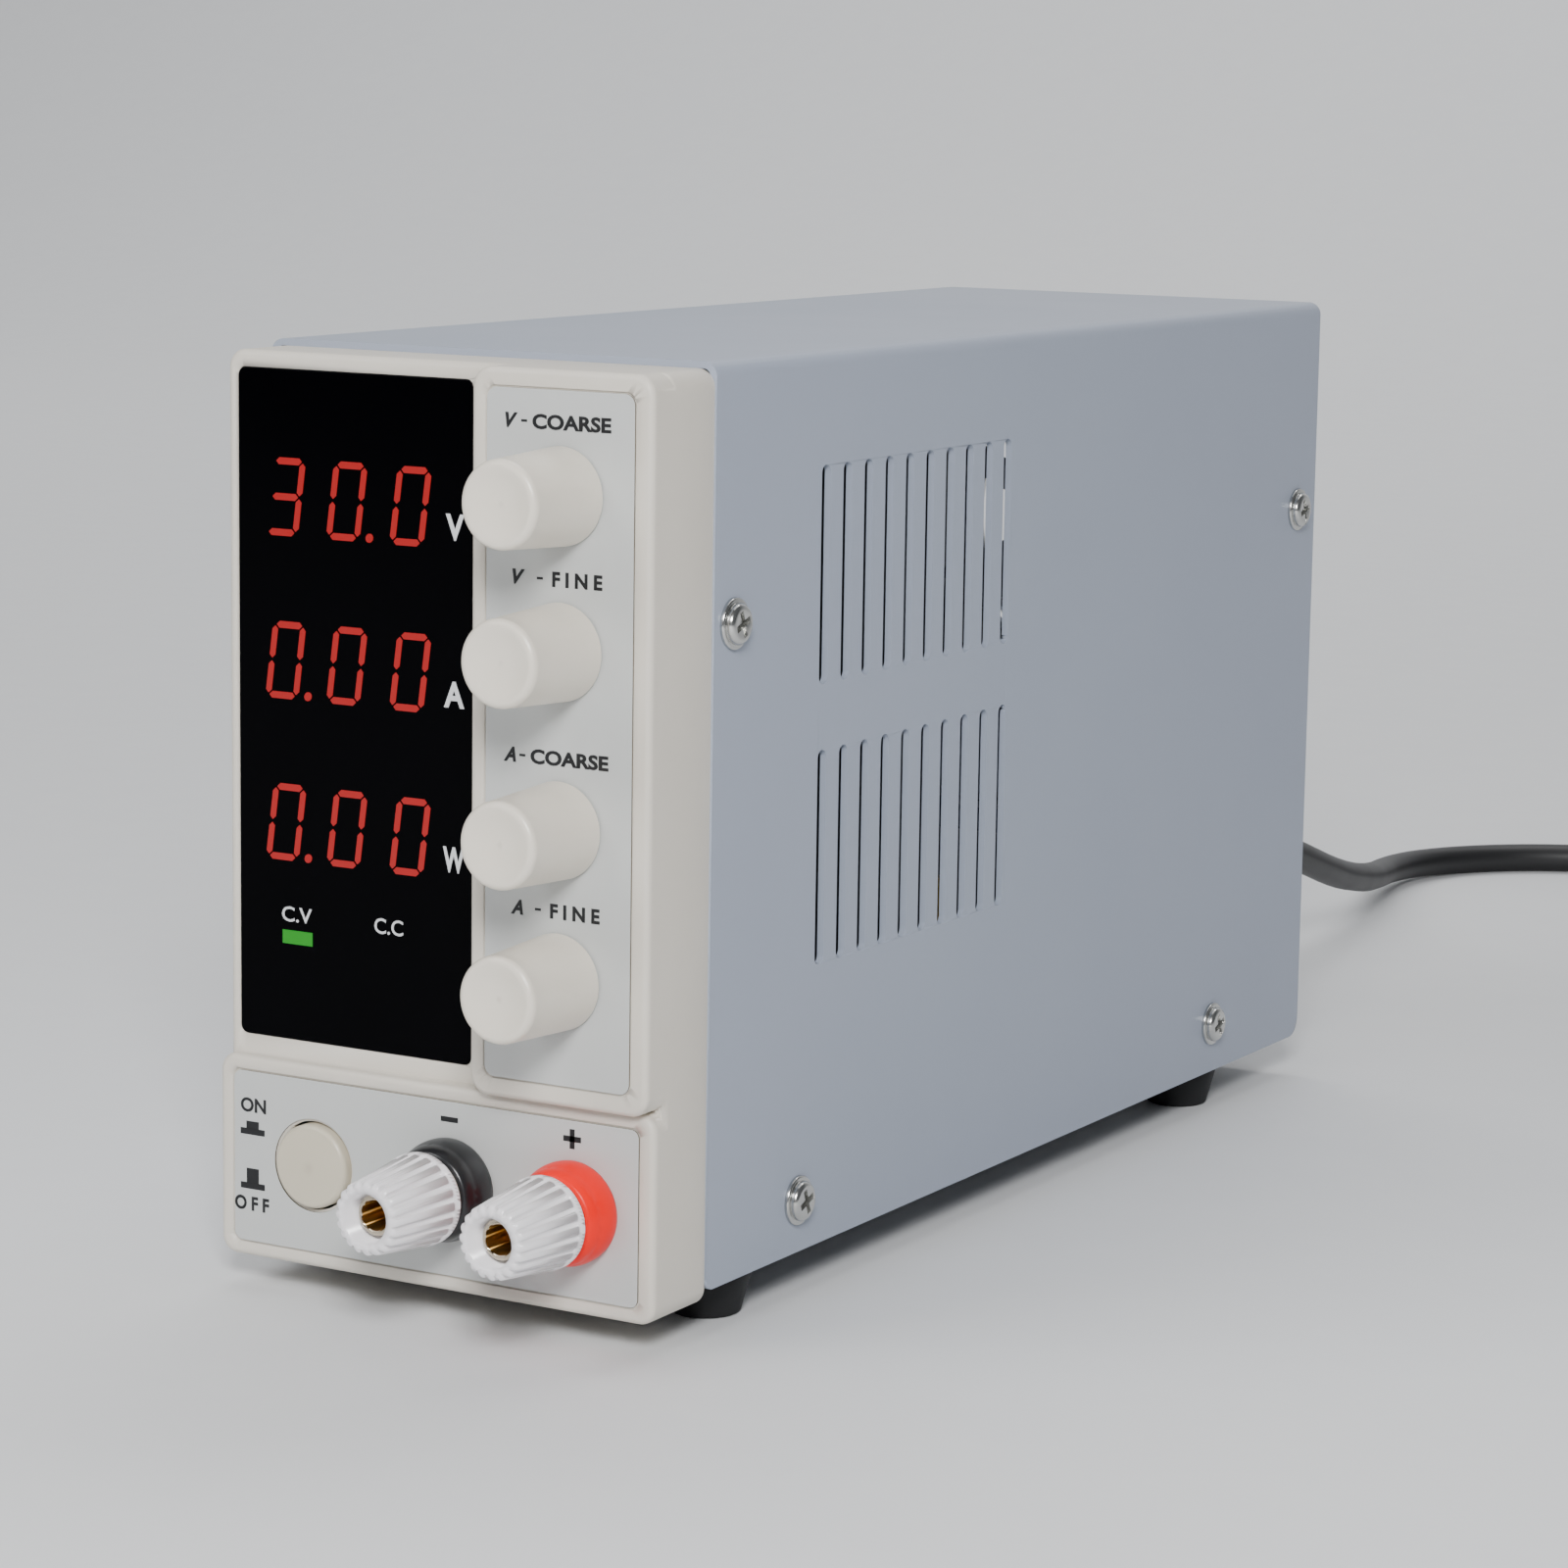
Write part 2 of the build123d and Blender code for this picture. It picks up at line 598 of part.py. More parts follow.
for name, (x, z) in post_places.items():
    with BuildPart() as collar:
        with BuildSketch(turning_plane(x, z)):
            with BuildLine():
                back = Polyline((stud_radius + 0.02, collar_front), (stud_radius + 0.02, 1.0), (3.9, 1.0),
                                (3.9, -terminal_step), (collar_radius - 0.15, -terminal_step))
                belly = ThreePointArc(back @ 1, (collar_radius, -terminal_step - 1.6),
                                      (collar_radius - 0.4, -terminal_step - 3.6))
                front = ThreePointArc(belly @ 1, (collar_radius - 0.62, -terminal_step - 4.6),
                                      (collar_radius - 1.1, collar_front))
                Line(front @ 1, back @ 0)
            make_face()
        revolve(axis=turning_axis(x, z))
    save(collar, f"{name}_collar")

    # plated brass stud: threaded at the back, a plain tube at the front, bored for a banana plug
    with BuildPart() as socket:
        turned(x, z, [(0, stud_back), (stud_radius, stud_back), (stud_radius, thread_front),
                      (socket_tube, thread_front), (socket_tube, tube_front + 0.3),
                      (socket_tube - 0.3, tube_front), (socket_bore + 0.15, tube_front),
                      (socket_bore, tube_front + 0.15), (socket_bore, tube_front + 14.0),
                      (0, tube_front + 15.0)])
        post(1.1, x, collar_front - 2.6, z - 5, z + 5, Mode.SUBTRACT)
    save(socket, f"{name}_socket")

    with BuildPart() as washer:
        rod(5.6, x, z, washer_front, washer_front + washer_thickness)
        rod(stud_radius + running, x, z, washer_front - 1, washer_front + washer_thickness + 1,
            Mode.SUBTRACT)
    save(washer, f"{name}_washer")

    with BuildPart() as cap:
        # a fluted cone with a softened tip, on a smooth band
        loft([fluted(x, z, cap_front, cap_tip_radius - 0.45), fluted(x, z, cap_front + 0.5, cap_tip_radius),
              fluted(x, z, cap_back - cap_band, cap_base_radius - 0.12)], ruled=True)
        turned(x, z, [(0, cap_back), (cap_base_radius - 0.25, cap_back), (cap_base_radius, cap_back - 0.25),
                      (cap_base_radius, cap_back - cap_band + 0.3),
                      (cap_base_radius - 0.3, cap_back - cap_band), (0, cap_back - cap_band)])
        rod(stud_radius + running, x, z, thread_front, cap_back + 1, Mode.SUBTRACT)
        rod(cap_mouth, x, z, cap_front - 1, thread_front, Mode.SUBTRACT)
    save(cap, f"{name}_cap")

# what holds the posts behind the terminal area
insulator_back = 2.0
nut_thickness = 2.6
lug_thickness = 0.8

with BuildPart() as post_insulators:
    for x, z in post_places.values():
        rod(6.4, x, z, terminal_wall_back, insulator_back)
        rod(4.0, x, z, terminal_wall_back - 1, 1.1, Mode.SUBTRACT)
        rod(stud_radius + 0.05, x, z, 0, insulator_back + 1, Mode.SUBTRACT)
save(post_insulators, "post_insulators")

with BuildPart() as post_nuts:
    for front in (insulator_back, insulator_back + nut_thickness + lug_thickness):
        with BuildSketch(front_plane(front + nut_thickness)):
            for place in post_places.values():
                with Locations(place):
                    RegularPolygon(5.0, 6, major_radius=False)
                    Circle(stud_radius + 0.03, mode=Mode.SUBTRACT)
        extrude(amount=nut_thickness)
save(post_nuts, "post_nuts")


# ---------------------------------------------------------------- wires
def arc_radii(points):
    """For each inner point of a route, the largest arc that its two runs allow."""
    radii = []
    for before, here, after in zip(points, points[1:], points[2:]):
        run_in = Vector(*here) - Vector(*before)
        run_out = Vector(*after) - Vector(*here)
        half_turn = radians(run_in.get_angle(run_out)) / 2
        radii.append(0.45 * min(run_in.length, run_out.length) / tan(half_turn))
    return radii


def tube(radius, points):
    """A round wire along straight runs joined by tangent arcs, through (x, behind, z) points."""
    places = [(x, display_y + behind, z) for x, behind, z in points]
    with BuildLine() as route:
        FilletPolyline(*places, radius=arc_radii(places))
    path = route.wire()
    with BuildSketch(Plane(origin=path @ 0, z_dir=path % 0)) as section:
        Circle(radius)
    sweep(section.sketch, path=path)
    return path


lug_front = insulator_back + nut_thickness
lug_back = lug_front + lug_thickness
lead_radius = 1.4
lead_height = 11.5
with BuildPart() as output_leads:
    for (x, z), board_x in zip(post_places.values(), (-3.0, 12.0)):
        # crimped ring lug between the two nuts, with its lead down to the main board
        rod(4.6, x, z, lug_front, lug_back)
        block((x - 1.8, lug_front, lead_height - 1.6), (x + 1.8, lug_back, z - 3))
        rod(stud_radius + 0.05, x, z, lug_front - 1, lug_back + 1, Mode.SUBTRACT)
        tube(lead_radius, [(x, lug_back, lead_height), (x, 14, lead_height), (x - 2, 24, lead_height + 2),
                           (board_x + 2, 34, lead_height + 8), (board_x, 45, lead_height + 9.5),
                           (board_x, 45, board_top)])
save(output_leads, "output_leads")

ribbon_width = 14.0
ribbon_thickness = 0.9
with BuildPart() as ribbon_cable:
    with BuildSketch(Plane.YZ.offset(readout_x + 1.15 - ribbon_width / 2)):
        with BuildLine():
            FilletPolyline((display_y + board_back + 5, 49.5), (display_y + 24, 49.5),
                           (display_y + 30, 36), (display_y + 48, 30),
                           (display_y + 52, board_top + 7.1), radius=3)
        trace(line_width=ribbon_thickness)
    extrude(amount=ribbon_width)
save(ribbon_cable, "ribbon_cable")

with BuildPart() as mains_wires:
    terminal_back = switch_back + 4
    for side, pin_x in ((-1, -7.0), (1, 7.0)):
        lift = 2.4 * (side > 0)
        tube(0.95, [(button_place[0] + 4 * side, terminal_back, button_place[1] + 3),
                    (button_place[0] + 4 * side, terminal_back + 8, button_place[1] + 3.2),
                    (-27, 52, 22.5 + lift), (-31.2, 72, 22.5 + lift), (-31.0, 100, 23 + lift),
                    (-31.2, 132, 24 + lift), (-24, 150, 30 + lift), (pin_x - 5, 163, 35),
                    (pin_x, 168, 35.5), (pin_x, 175, 35.6)])
save(mains_wires, "mains_wires")

# ---------------------------------------------------------------- main board and its parts
with BuildPart() as main_board:
    block((-29, 30, board_bottom), (29, 174, board_top))
    for x, behind in standoff_places:
        post(screw_radius + 0.1, x, behind, board_bottom - 1, board_top + 1, Mode.SUBTRACT)
save(main_board, "main_board")

with BuildPart() as standoffs:
    with BuildSketch(Plane.XY.offset(floor_top)):
        with Locations(*[(x, display_y + behind) for x, behind in standoff_places]):
            RegularPolygon(2.75, 6, major_radius=False)
            Circle(screw_radius, mode=Mode.SUBTRACT)
    extrude(amount=standoff_height)
save(standoffs, "standoffs")

core_middle = (9.0, 104.0)
core_size = (35.0, 11.0, 34.0)
with BuildPart() as transformer_core:
    block((core_middle[0] - core_size[0] / 2, core_middle[1] - core_size[1] / 2, board_top + 3),
          (core_middle[0] + core_size[0] / 2, core_middle[1] + core_size[1] / 2,
           board_top + 3 + core_size[2]))
    for side in (-1, 1):
        block((core_middle[0] + side * 9.5 - 3.5, core_middle[1] - 12, board_top + 8),
              (core_middle[0] + side * 9.5 + 3.5, core_middle[1] + 12, board_top + 32), Mode.SUBTRACT)
save(transformer_core, "transformer_core")

with BuildPart() as transformer_winding:
    with BuildSketch(Plane.XY.offset(board_top + 8.2)):
        with Locations((core_middle[0], display_y + core_middle[1])):
            RectangleRounded(25.6, 26, 5)
            Rectangle(12.4, core_size[1] + 0.4, mode=Mode.SUBTRACT)
    extrude(amount=23.6)
save(transformer_winding, "transformer_winding")

with BuildPart() as capacitors:
    for x, behind, radius, height in ((-10, 142, 9.0, 36), (9, 142, 9.0, 36), (-20, 62, 5, 20),
                                      (-20, 74, 5, 20), (-8, 62, 5, 20)):
        post(radius, x, behind, board_top, board_top + height)
    fillet(faces().filter_by(Plane.XY).filter_by(lambda f: f.center().Z > board_top + 15).edges(), 0.8)
save(capacitors, "capacitors")

with BuildPart() as heatsinks:
    # tall output heatsink beside the front vents, finned input heatsink on the other side
    block((22, 46, board_top), (25, 76, 112))
    for behind in (46, 53.1, 60.2, 67.3, 74.4):
        block((25, behind, board_top), (31, behind + 1.6, 112))
    block((-22, 96, board_top), (-19, 128, 66))
    for behind in (96, 106, 116, 126.4):
        block((-28, behind, board_top), (-22, behind + 1.6, 66))
save(heatsinks, "heatsinks")

with BuildPart() as power_transistors:
    for behind in (53, 68):
        block((17.2, behind - 4.5, 26), (22, behind + 4.5, 40))
        for pin in (-2.5, 0, 2.5):
            block((18.5, behind + pin - 0.4, board_top), (19.1, behind + pin + 0.4, 26))
    for behind in (103, 120):
        block((-19, behind - 4.5, 26), (-14.4, behind + 4.5, 40))
        for pin in (-2.5, 0, 2.5):
            block((-16.5, behind + pin - 0.4, board_top), (-15.9, behind + pin + 0.4, 26))
save(power_transistors, "power_transistors")

with BuildPart() as chokes:
    for x, behind, ring, thick in ((4, 78, 8.5, 3.6), (20, 124, 6.0, 3.0)):
        with Locations((x, display_y + behind, board_top + thick)):
            Torus(ring, thick)
save(chokes, "chokes")

# ---------------------------------------------------------------- fan
fan_front = panel_inner - fan_depth
half_fan = fan_size / 2
hub_radius = 13.0
fan_shaft_radius = 1.5

with BuildPart() as fan_frame:
    with BuildSketch(front_plane(panel_inner)):
        with Locations((0, fan_height)):
            RectangleRounded(fan_size, fan_size, 3)
            Circle(half_fan - 1.4, mode=Mode.SUBTRACT)
    extrude(amount=fan_depth)
    with BuildSketch(front_plane(panel_inner - 3)):
        with Locations((0, fan_height)):
            Rectangle(fan_size + 2, fan_size + 2)
            Circle(half_fan + 0.2, mode=Mode.SUBTRACT)
    extrude(amount=fan_depth - 6, mode=Mode.SUBTRACT)
    with BuildSketch(front_plane(panel_inner)):
        with Locations((0, fan_height)):
            Circle(hub_radius)
            with PolarLocations(hub_radius + 7, 3, start_angle=90):
                Rectangle(18, 3.4)
    extrude(amount=2.4)
    rod(7.0, 0, fan_height, fan_front + 6, panel_inner - 1)
    rod(fan_shaft_radius + running, 0, fan_height, fan_front, panel_inner - 1.2, Mode.SUBTRACT)
    for dx in (-fan_pitch / 2, fan_pitch / 2):
        for dz in (-fan_pitch / 2, fan_pitch / 2):
            rod(2.1, dx, fan_height + dz, fan_front - 1, panel_inner + 1, Mode.SUBTRACT)
save(fan_frame, "fan_frame")

blade_count = 7
rotor_front = fan_front + 0.8
rotor_back = panel_inner - 3.4
with BuildPart() as fan_rotor:
    rod(hub_radius, 0, fan_height, rotor_front, rotor_back)
    rod(hub_radius - 1.4, 0, fan_height, rotor_front + 1.6, rotor_back + 1, Mode.SUBTRACT)
    rod(fan_shaft_radius, 0, fan_height, rotor_front + 1, panel_inner - 2.4)
    # pitched blades between the hub and just inside the frame
    for blade in range(blade_count):
        angle = 2 * pi * blade / blade_count
        outward = Plane(origin=(0, display_y + (rotor_front + rotor_back) / 2, fan_height),
                        x_dir=(0, 1, 0), z_dir=(cos(angle), 0, sin(angle)))
        with BuildSketch(outward.offset(hub_radius - 1.0)):
            Rectangle(11.5, 1.2, rotation=35)
        extrude(amount=half_fan - 3.0 - hub_radius + 1.0)
save(fan_rotor, "fan_rotor")

guard_wire = 0.8
with BuildPart() as fan_guard:
    corner = fan_pitch / 2
    flat_y = display_y + panel_outer + guard_wire
    ring_y = flat_y + 1.4
    for radius in (27.5, 20.5, 13.5, 6.5):
        with Locations(Location((0, ring_y, fan_height), (90, 0, 0))):
            Torus(radius, guard_wire)
    for lean in (45, -45):
        with Locations(Location((0, flat_y, fan_height), (0, lean, 0))):
            Cylinder(guard_wire, 2 * (corner * 2 ** 0.5 - 2.6))
    for dx in (-corner, corner):
        for dz in (-corner, corner):
            with Locations(Location((dx, flat_y, fan_height + dz), (90, 0, 0))):
                Torus(2.6, guard_wire)
save(fan_guard, "fan_guard")

# ---------------------------------------------------------------- mains inlet on the rear panel
inlet_front = panel_outer - 16.5
flange_rear = panel_outer + inlet_flange[2]
socket_size = (24.4, 16.4)
socket_corner = 4.2
pin_places = ((-7.0, 2.2), (7.0, 2.2), (0.0, -1.8))


def coupler(size, corner, front, back, mode=Mode.ADD):
    """A block with the outline of the mains coupler: its two upper corners are cut off."""
    half, high = size[0] / 2, size[1] / 2
    with BuildSketch(front_plane(back)) as outline:
        with Locations((0, inlet_height)):
            Polygon((-half, -high), (half, -high), (half, high - corner), (half - corner, high),
                    (-half + corner, high), (-half, high - corner), align=None)
    extrude(outline.sketch, amount=back - front, mode=mode)


with BuildPart() as mains_inlet:
    with BuildSketch(front_plane(flange_rear)):
        with Locations((0, inlet_height)):
            RectangleRounded(inlet_flange[0], inlet_flange[1], 3)
            with Locations((-inlet_screw_x, 0), (inlet_screw_x, 0)):
                Circle(screw_radius + 0.15, mode=Mode.SUBTRACT)
    extrude(amount=inlet_flange[2])
    block((-inlet_cutout[0] / 2 + 0.2, inlet_front, inlet_height - inlet_cutout[1] / 2 + 0.2),
          (inlet_cutout[0] / 2 - 0.2, panel_outer, inlet_height + inlet_cutout[1] / 2 - 0.2))
    coupler(socket_size, socket_corner, inlet_front + 2.0, flange_rear + 0.5, Mode.SUBTRACT)
    for x, dz in pin_places:
        block((x - 1.05, inlet_front - 1, inlet_height + dz - 2.05),
              (x + 1.05, inlet_front + 3, inlet_height + dz + 2.05), Mode.SUBTRACT)
save(mains_inlet, "mains_inlet")

with BuildPart() as inlet_pins:
    for x, dz in pin_places:
        block((x - 1.0, inlet_front - 7, inlet_height + dz - 2.0),
              (x + 1.0, inlet_front + 14, inlet_height + dz + 2.0))
save(inlet_pins, "inlet_pins")

# ---------------------------------------------------------------- screws on the rear
with BuildPart() as rear_screws:
    half_pitch = fan_pitch / 2
    fan_screws = [(dx, fan_height + dz) for dx in (-half_pitch, half_pitch)
                  for dz in (-half_pitch, half_pitch)]
    head_front = panel_outer + 2 * guard_wire
    for x, z in fan_screws:
        rod(3.4, x, z, head_front, body_depth + rear_reach)
        rod(screw_radius, x, z, fan_front - 3.4, head_front)
        with BuildSketch(front_plane(fan_front)):
            with Locations((x, z)):
                RegularPolygon(2.75, 6, major_radius=False)
        extrude(amount=2.4)
    for x in (-inlet_screw_x, inlet_screw_x):
        rod(2.8, x, inlet_height, flange_rear, flange_rear + 1.4)
        rod(screw_radius, x, inlet_height, panel_inner - 3, flange_rear)
save(rear_screws, "rear_screws")

# ---------------------------------------------------------------- mains lead
nose_size = (23.9, 15.9)
nose_front = inlet_front + 2.3
grip_back = flange_rear + 24.0
relief_back = grip_back + 26.0
relief_height = 29.5

with BuildPart() as cord_connector:
    coupler(nose_size, socket_corner - 0.1, nose_front, flange_rear + 1.0)
    for x, dz in pin_places:
        block((x - 1.2, nose_front - 1, inlet_height + dz - 2.2),
              (x + 1.2, inlet_front + 14.5, inlet_height + dz + 2.2), Mode.SUBTRACT)
    # moulded grip, then a relief that tapers down to the cord
    with BuildSketch(front_plane(flange_rear)):
        with Locations((0, inlet_height)):
            RectangleRounded(27.0, 19.5, 4)
    with BuildSketch(front_plane(grip_back)):
        with Locations((0, inlet_height - 0.6)):
            RectangleRounded(20.0, 15.0, 4)
    loft()
    with BuildSketch(front_plane(grip_back)):
        with Locations((0, inlet_height - 0.6)):
            Circle(6.0)
    with BuildSketch(front_plane(relief_back)):
        with Locations((0, relief_height)):
            Circle(cord_radius + 0.8)
    loft()
save(cord_connector, "cord_connector")

# the cord droops from its relief to the floor, turns right and runs into the coil
lay = cord_radius
coil_middle = (40.0, 443.0)
coil_bottom = 0.7                       # the tie lies under the coil
coil_outer = coil_radius + coil_columns * cord_radius
coil_inner = coil_radius - coil_columns * cord_radius
coil_height = coil_layers * 2 * cord_radius
outer_turn = coil_outer - cord_radius
cord_route = [(0, relief_back, relief_height), (0, 275, 23.5), (-2.5, 301, 15.8), (-7.5, 327, 9.2),
              (-13, 347, 4.9), (-17.5, 363, 3.0), (-17.5, 379, lay), (-10.5, 393.5, lay),
              (2, 404, lay), (17.5, 409.5, lay),
              (coil_middle[0] - 8, coil_middle[1] - outer_turn + 0.6, lay + 0.3)]

with BuildPart() as mains_cord:
    cord_path = tube(cord_radius, cord_route)
save(mains_cord, "mains_cord")
print("cord radii", [round(r, 1) for r in arc_radii(cord_route)])
print("cord volume", round(mains_cord.part.volume), "length", round(cord_path.length, 1),
      "section x length", round(pi * cord_radius ** 2 * cord_path.length))

coil_turns = coil_columns * coil_layers
print("coiled length", round(coil_turns * 2 * pi * coil_radius))
with BuildPart() as cord_coil:
    with BuildSketch(Plane.XY.offset(coil_bottom)):
        with Locations((coil_middle[0], display_y + coil_middle[1])):
            Circle(coil_outer)
            Circle(coil_inner, mode=Mode.SUBTRACT)
    extrude(amount=coil_height)
    fillet(edges().filter_by(GeomType.CIRCLE), cord_radius * 0.8)
save(cord_coil, "cord_coil")


def coil_plane(turn, radius, height):
    """Plane across the coil at this turn and distance from its middle; it faces along the cord."""
    angle = radians(turn)
    return Plane(origin=(coil_middle[0] + radius * cos(angle),
                         display_y + coil_middle[1] + radius * sin(angle), height),
                 x_dir=(cos(angle), sin(angle), 0), z_dir=(-sin(angle), cos(angle), 0))


tie_turn = 100.0
tie_width = 12.0
tie_thickness = 0.6
with BuildPart() as cord_tie:
    across_coil = coil_plane(tie_turn, coil_radius, coil_bottom + coil_height / 2)
    bundle_width = coil_columns * 2 * cord_radius
    with BuildSketch(across_coil.offset(-tie_width / 2)):
        RectangleRounded(bundle_width + 3 * tie_thickness, coil_height + 2 * tie_thickness, 2.4)
        RectangleRounded(bundle_width + tie_thickness, coil_height, 1.8, mode=Mode.SUBTRACT)
    extrude(amount=tie_width)
save(cord_tie, "cord_tie")

# earthed wall plug, lying beside the coil where the last turn leaves it
plug_turn = 0.0
plug_half_height = 12.5
top_turn_height = coil_bottom + coil_height - cord_radius
plug_relief_start = 8.0
plug_body_start = plug_relief_start + 24.0
plug_taper_end = plug_body_start + 19.0
plug_body_end = plug_taper_end + 9.0
blade_spread = 6.35


def plug_plane(along, height):
    return coil_plane(plug_turn, outer_turn, height).offset(along)


with BuildPart() as wall_plug:
    with BuildSketch(plug_plane(plug_relief_start, top_turn_height)):
        Circle(cord_radius + 0.7)
    with BuildSketch(plug_plane(plug_body_start, plug_half_height + 0.5)):
        Circle(6.2)
    loft()
    with BuildSketch(plug_plane(plug_body_start, plug_half_height + 0.5)):
        RectangleRounded(17, 16, 6)
    with BuildSketch(plug_plane(plug_taper_end, plug_half_height)):
        RectangleRounded(27, 2 * plug_half_height, 8)
    loft()
    with BuildSketch(plug_plane(plug_taper_end, plug_half_height)):
        RectangleRounded(27, 2 * plug_half_height, 8)
    extrude(amount=plug_body_end - plug_taper_end)
save(wall_plug, "wall_plug")

with BuildPart() as plug_pins:
    for side in (-1, 1):
        with BuildSketch(plug_plane(plug_body_end, plug_half_height + 3)):
            with Locations((side * blade_spread, 0)):
                Rectangle(1.5, 6.3)
        extrude(amount=17.5)
    with BuildSketch(plug_plane(plug_body_end, plug_half_height - 7)):
        Circle(2.4)
    extrude(amount=20.5)
save(plug_pins, "plug_pins")
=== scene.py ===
# %% [markdown]
# # A compact bench power supply
# The object is a small direct-current supply: a moulded front with a smoked window, three rows of
# red numerals, four knobs, a mains button and two binding posts, all on a folded and powder coated
# steel case with a mains lead at the back. The solid parts already exist as an engineering model,
# so this lesson loads them as a fixed frame and gives them their surfaces, edges and small details.

import json
from math import cos, pi, radians, sin, tan

import bpy
from mathutils import Matrix, Vector


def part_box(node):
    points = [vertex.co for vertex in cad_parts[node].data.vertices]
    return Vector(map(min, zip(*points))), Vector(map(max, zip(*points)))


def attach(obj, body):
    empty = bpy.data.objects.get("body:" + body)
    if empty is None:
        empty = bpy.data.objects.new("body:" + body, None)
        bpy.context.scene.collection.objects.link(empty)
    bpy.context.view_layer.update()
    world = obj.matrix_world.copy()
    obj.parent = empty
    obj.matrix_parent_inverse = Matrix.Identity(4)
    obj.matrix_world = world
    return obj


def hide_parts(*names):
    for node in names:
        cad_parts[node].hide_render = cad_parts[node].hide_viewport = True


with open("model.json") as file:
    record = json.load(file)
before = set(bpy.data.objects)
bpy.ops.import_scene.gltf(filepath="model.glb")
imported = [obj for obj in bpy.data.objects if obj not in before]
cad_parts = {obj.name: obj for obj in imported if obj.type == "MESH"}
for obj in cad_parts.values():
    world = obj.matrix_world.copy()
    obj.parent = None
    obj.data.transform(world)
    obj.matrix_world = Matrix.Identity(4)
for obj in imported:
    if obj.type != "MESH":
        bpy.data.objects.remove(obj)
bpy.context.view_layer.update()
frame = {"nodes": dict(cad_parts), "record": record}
MM = 0.001

# %% [markdown]
# The front of the supply has three levels, and most details sit on one of them. Each level's place
# along Y is read from the frame, so lettering and numerals land on the real surfaces.

# %% Levels of the front
display_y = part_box("display_window")[0][1]
column_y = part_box("knob_label_plate")[0][1]
terminal_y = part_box("terminal_label_plate")[0][1]
bezel_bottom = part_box("front_bezel")[0][2]
bodies = frame["record"]["behaviour"]["bodies"]
body_of_node = {node: body for body, nodes in bodies.items() for node in nodes}
print("levels", display_y, column_y, terminal_y, "bezel bottom", bezel_bottom)

# %% [markdown]
# ## Camera
# A short telephoto lens stands a little above the supply and to its right, so that the front and
# the vented side both show. The camera is placed by a position, a line of sight and the direction
# that is level in the picture, because the three directions make its rotation matrix.

# %% Camera
camera_place = Vector((0.32808, -0.56789, 0.16547))
sight = Vector((-0.49516, 0.85403, -0.15952)).normalized()
level = Vector((0.86383, 0.50357, 0.01465))
level = (level - level.dot(sight) * sight).normalized()
upward = level.cross(sight)

camera_data = bpy.data.cameras.new("camera")
camera_data.lens = 103.4
camera_data.sensor_width = 36.0
camera_data.clip_start = 0.01
camera = bpy.data.objects.new("camera", camera_data)
camera.matrix_world = Matrix.Translation(camera_place) @ Matrix((level, upward, -sight)).transposed().to_4x4()
bpy.context.collection.objects.link(camera)
bpy.context.scene.camera = camera

# %% [markdown]
# ## The mains cord
# A round flexible cord of about 5.6 mm leaves a moulded relief, sags to the bench in a long slope,
# turns right and is put away in a neat coil. One NURBS curve carries it all: its first control
# points are the listed route, and a loop adds the coil's turns. Order 3 with clamped ends
# keeps the line smooth and close to its points.

# %% Cord sizes
cord_radius = 2.8 * MM
coil_low, coil_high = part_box("cord_coil")
coil_x = (coil_low[0] + coil_high[0]) / 2
coil_y = (coil_low[1] + coil_high[1]) / 2
outer_radius = (coil_high[0] - coil_low[0]) / 2 - cord_radius
inner_radius = outer_radius - 2 * cord_radius
layers = [coil_low[2] + cord_radius + 2 * cord_radius * k for k in range(3)]
print("coil turns between radii", inner_radius, outer_radius)

# %% Route on the bench
# (x, distance behind the display, height), in millimetres
route = [(0, 251.1, 29.5), (0, 275, 22.4), (-2.5, 301, 14.2), (-7.5, 327, 8.9), (-13, 347, 6.0),
         (-17.5, 363, 4.2), (-17.5, 379, 3.2), (-10.5, 393.5, 2.8), (2, 404, 2.8), (17.5, 409.5, 2.8)]
cord_points = [Vector((x * MM, display_y + behind * MM, z * MM)) for x, behind, z in route]

# %% [markdown]
# A coil of two columns and three layers has to climb without one turn cutting another. Each turn
# shifts to its next place in a short window, and each window starts a little earlier round the
# coil than the last one, so the place that a turn moves into is always empty.

# %% Turns of the coil
seats = [(outer_radius, layers[0]), (inner_radius, layers[0]), (inner_radius, layers[1]),
         (outer_radius, layers[1]), (inner_radius, layers[2]), (outer_radius, layers[2])]
shift_angle = 45
first_shift = 300
entry_angle = -103.7
leave_angle = 1873.7
point_step = 15


def seat_at(travel):
    """Radius and height of the cord after this many degrees of travel round the coil."""
    radius, height = seats[0]
    for k in range(1, len(seats)):
        start = first_shift + (k - 1) * (360 - shift_angle)
        share = min(max((travel - start) / shift_angle, 0), 1)
        share = share * share * (3 - 2 * share)
        radius += share * (seats[k][0] - seats[k - 1][0])
        height += share * (seats[k][1] - seats[k - 1][1])
    return radius, height


for step in range(int(leave_angle / point_step) + 1):
    travel = step * point_step
    radius, height = seat_at(travel)
    radius /= cos(radians(point_step / 2))
    angle = radians(entry_angle + travel)
    cord_points.append(Vector((coil_x + radius * cos(angle), coil_y + radius * sin(angle), height)))

# %% End of the cord
leave = radians(entry_angle + leave_angle)
tangent = Vector((-sin(leave), cos(leave), 0))
leave_place = Vector((coil_x + outer_radius * cos(leave), coil_y + outer_radius * sin(leave), layers[2]))
for straight_run in (2, 14):
    cord_points.append(leave_place + tangent * straight_run * MM)

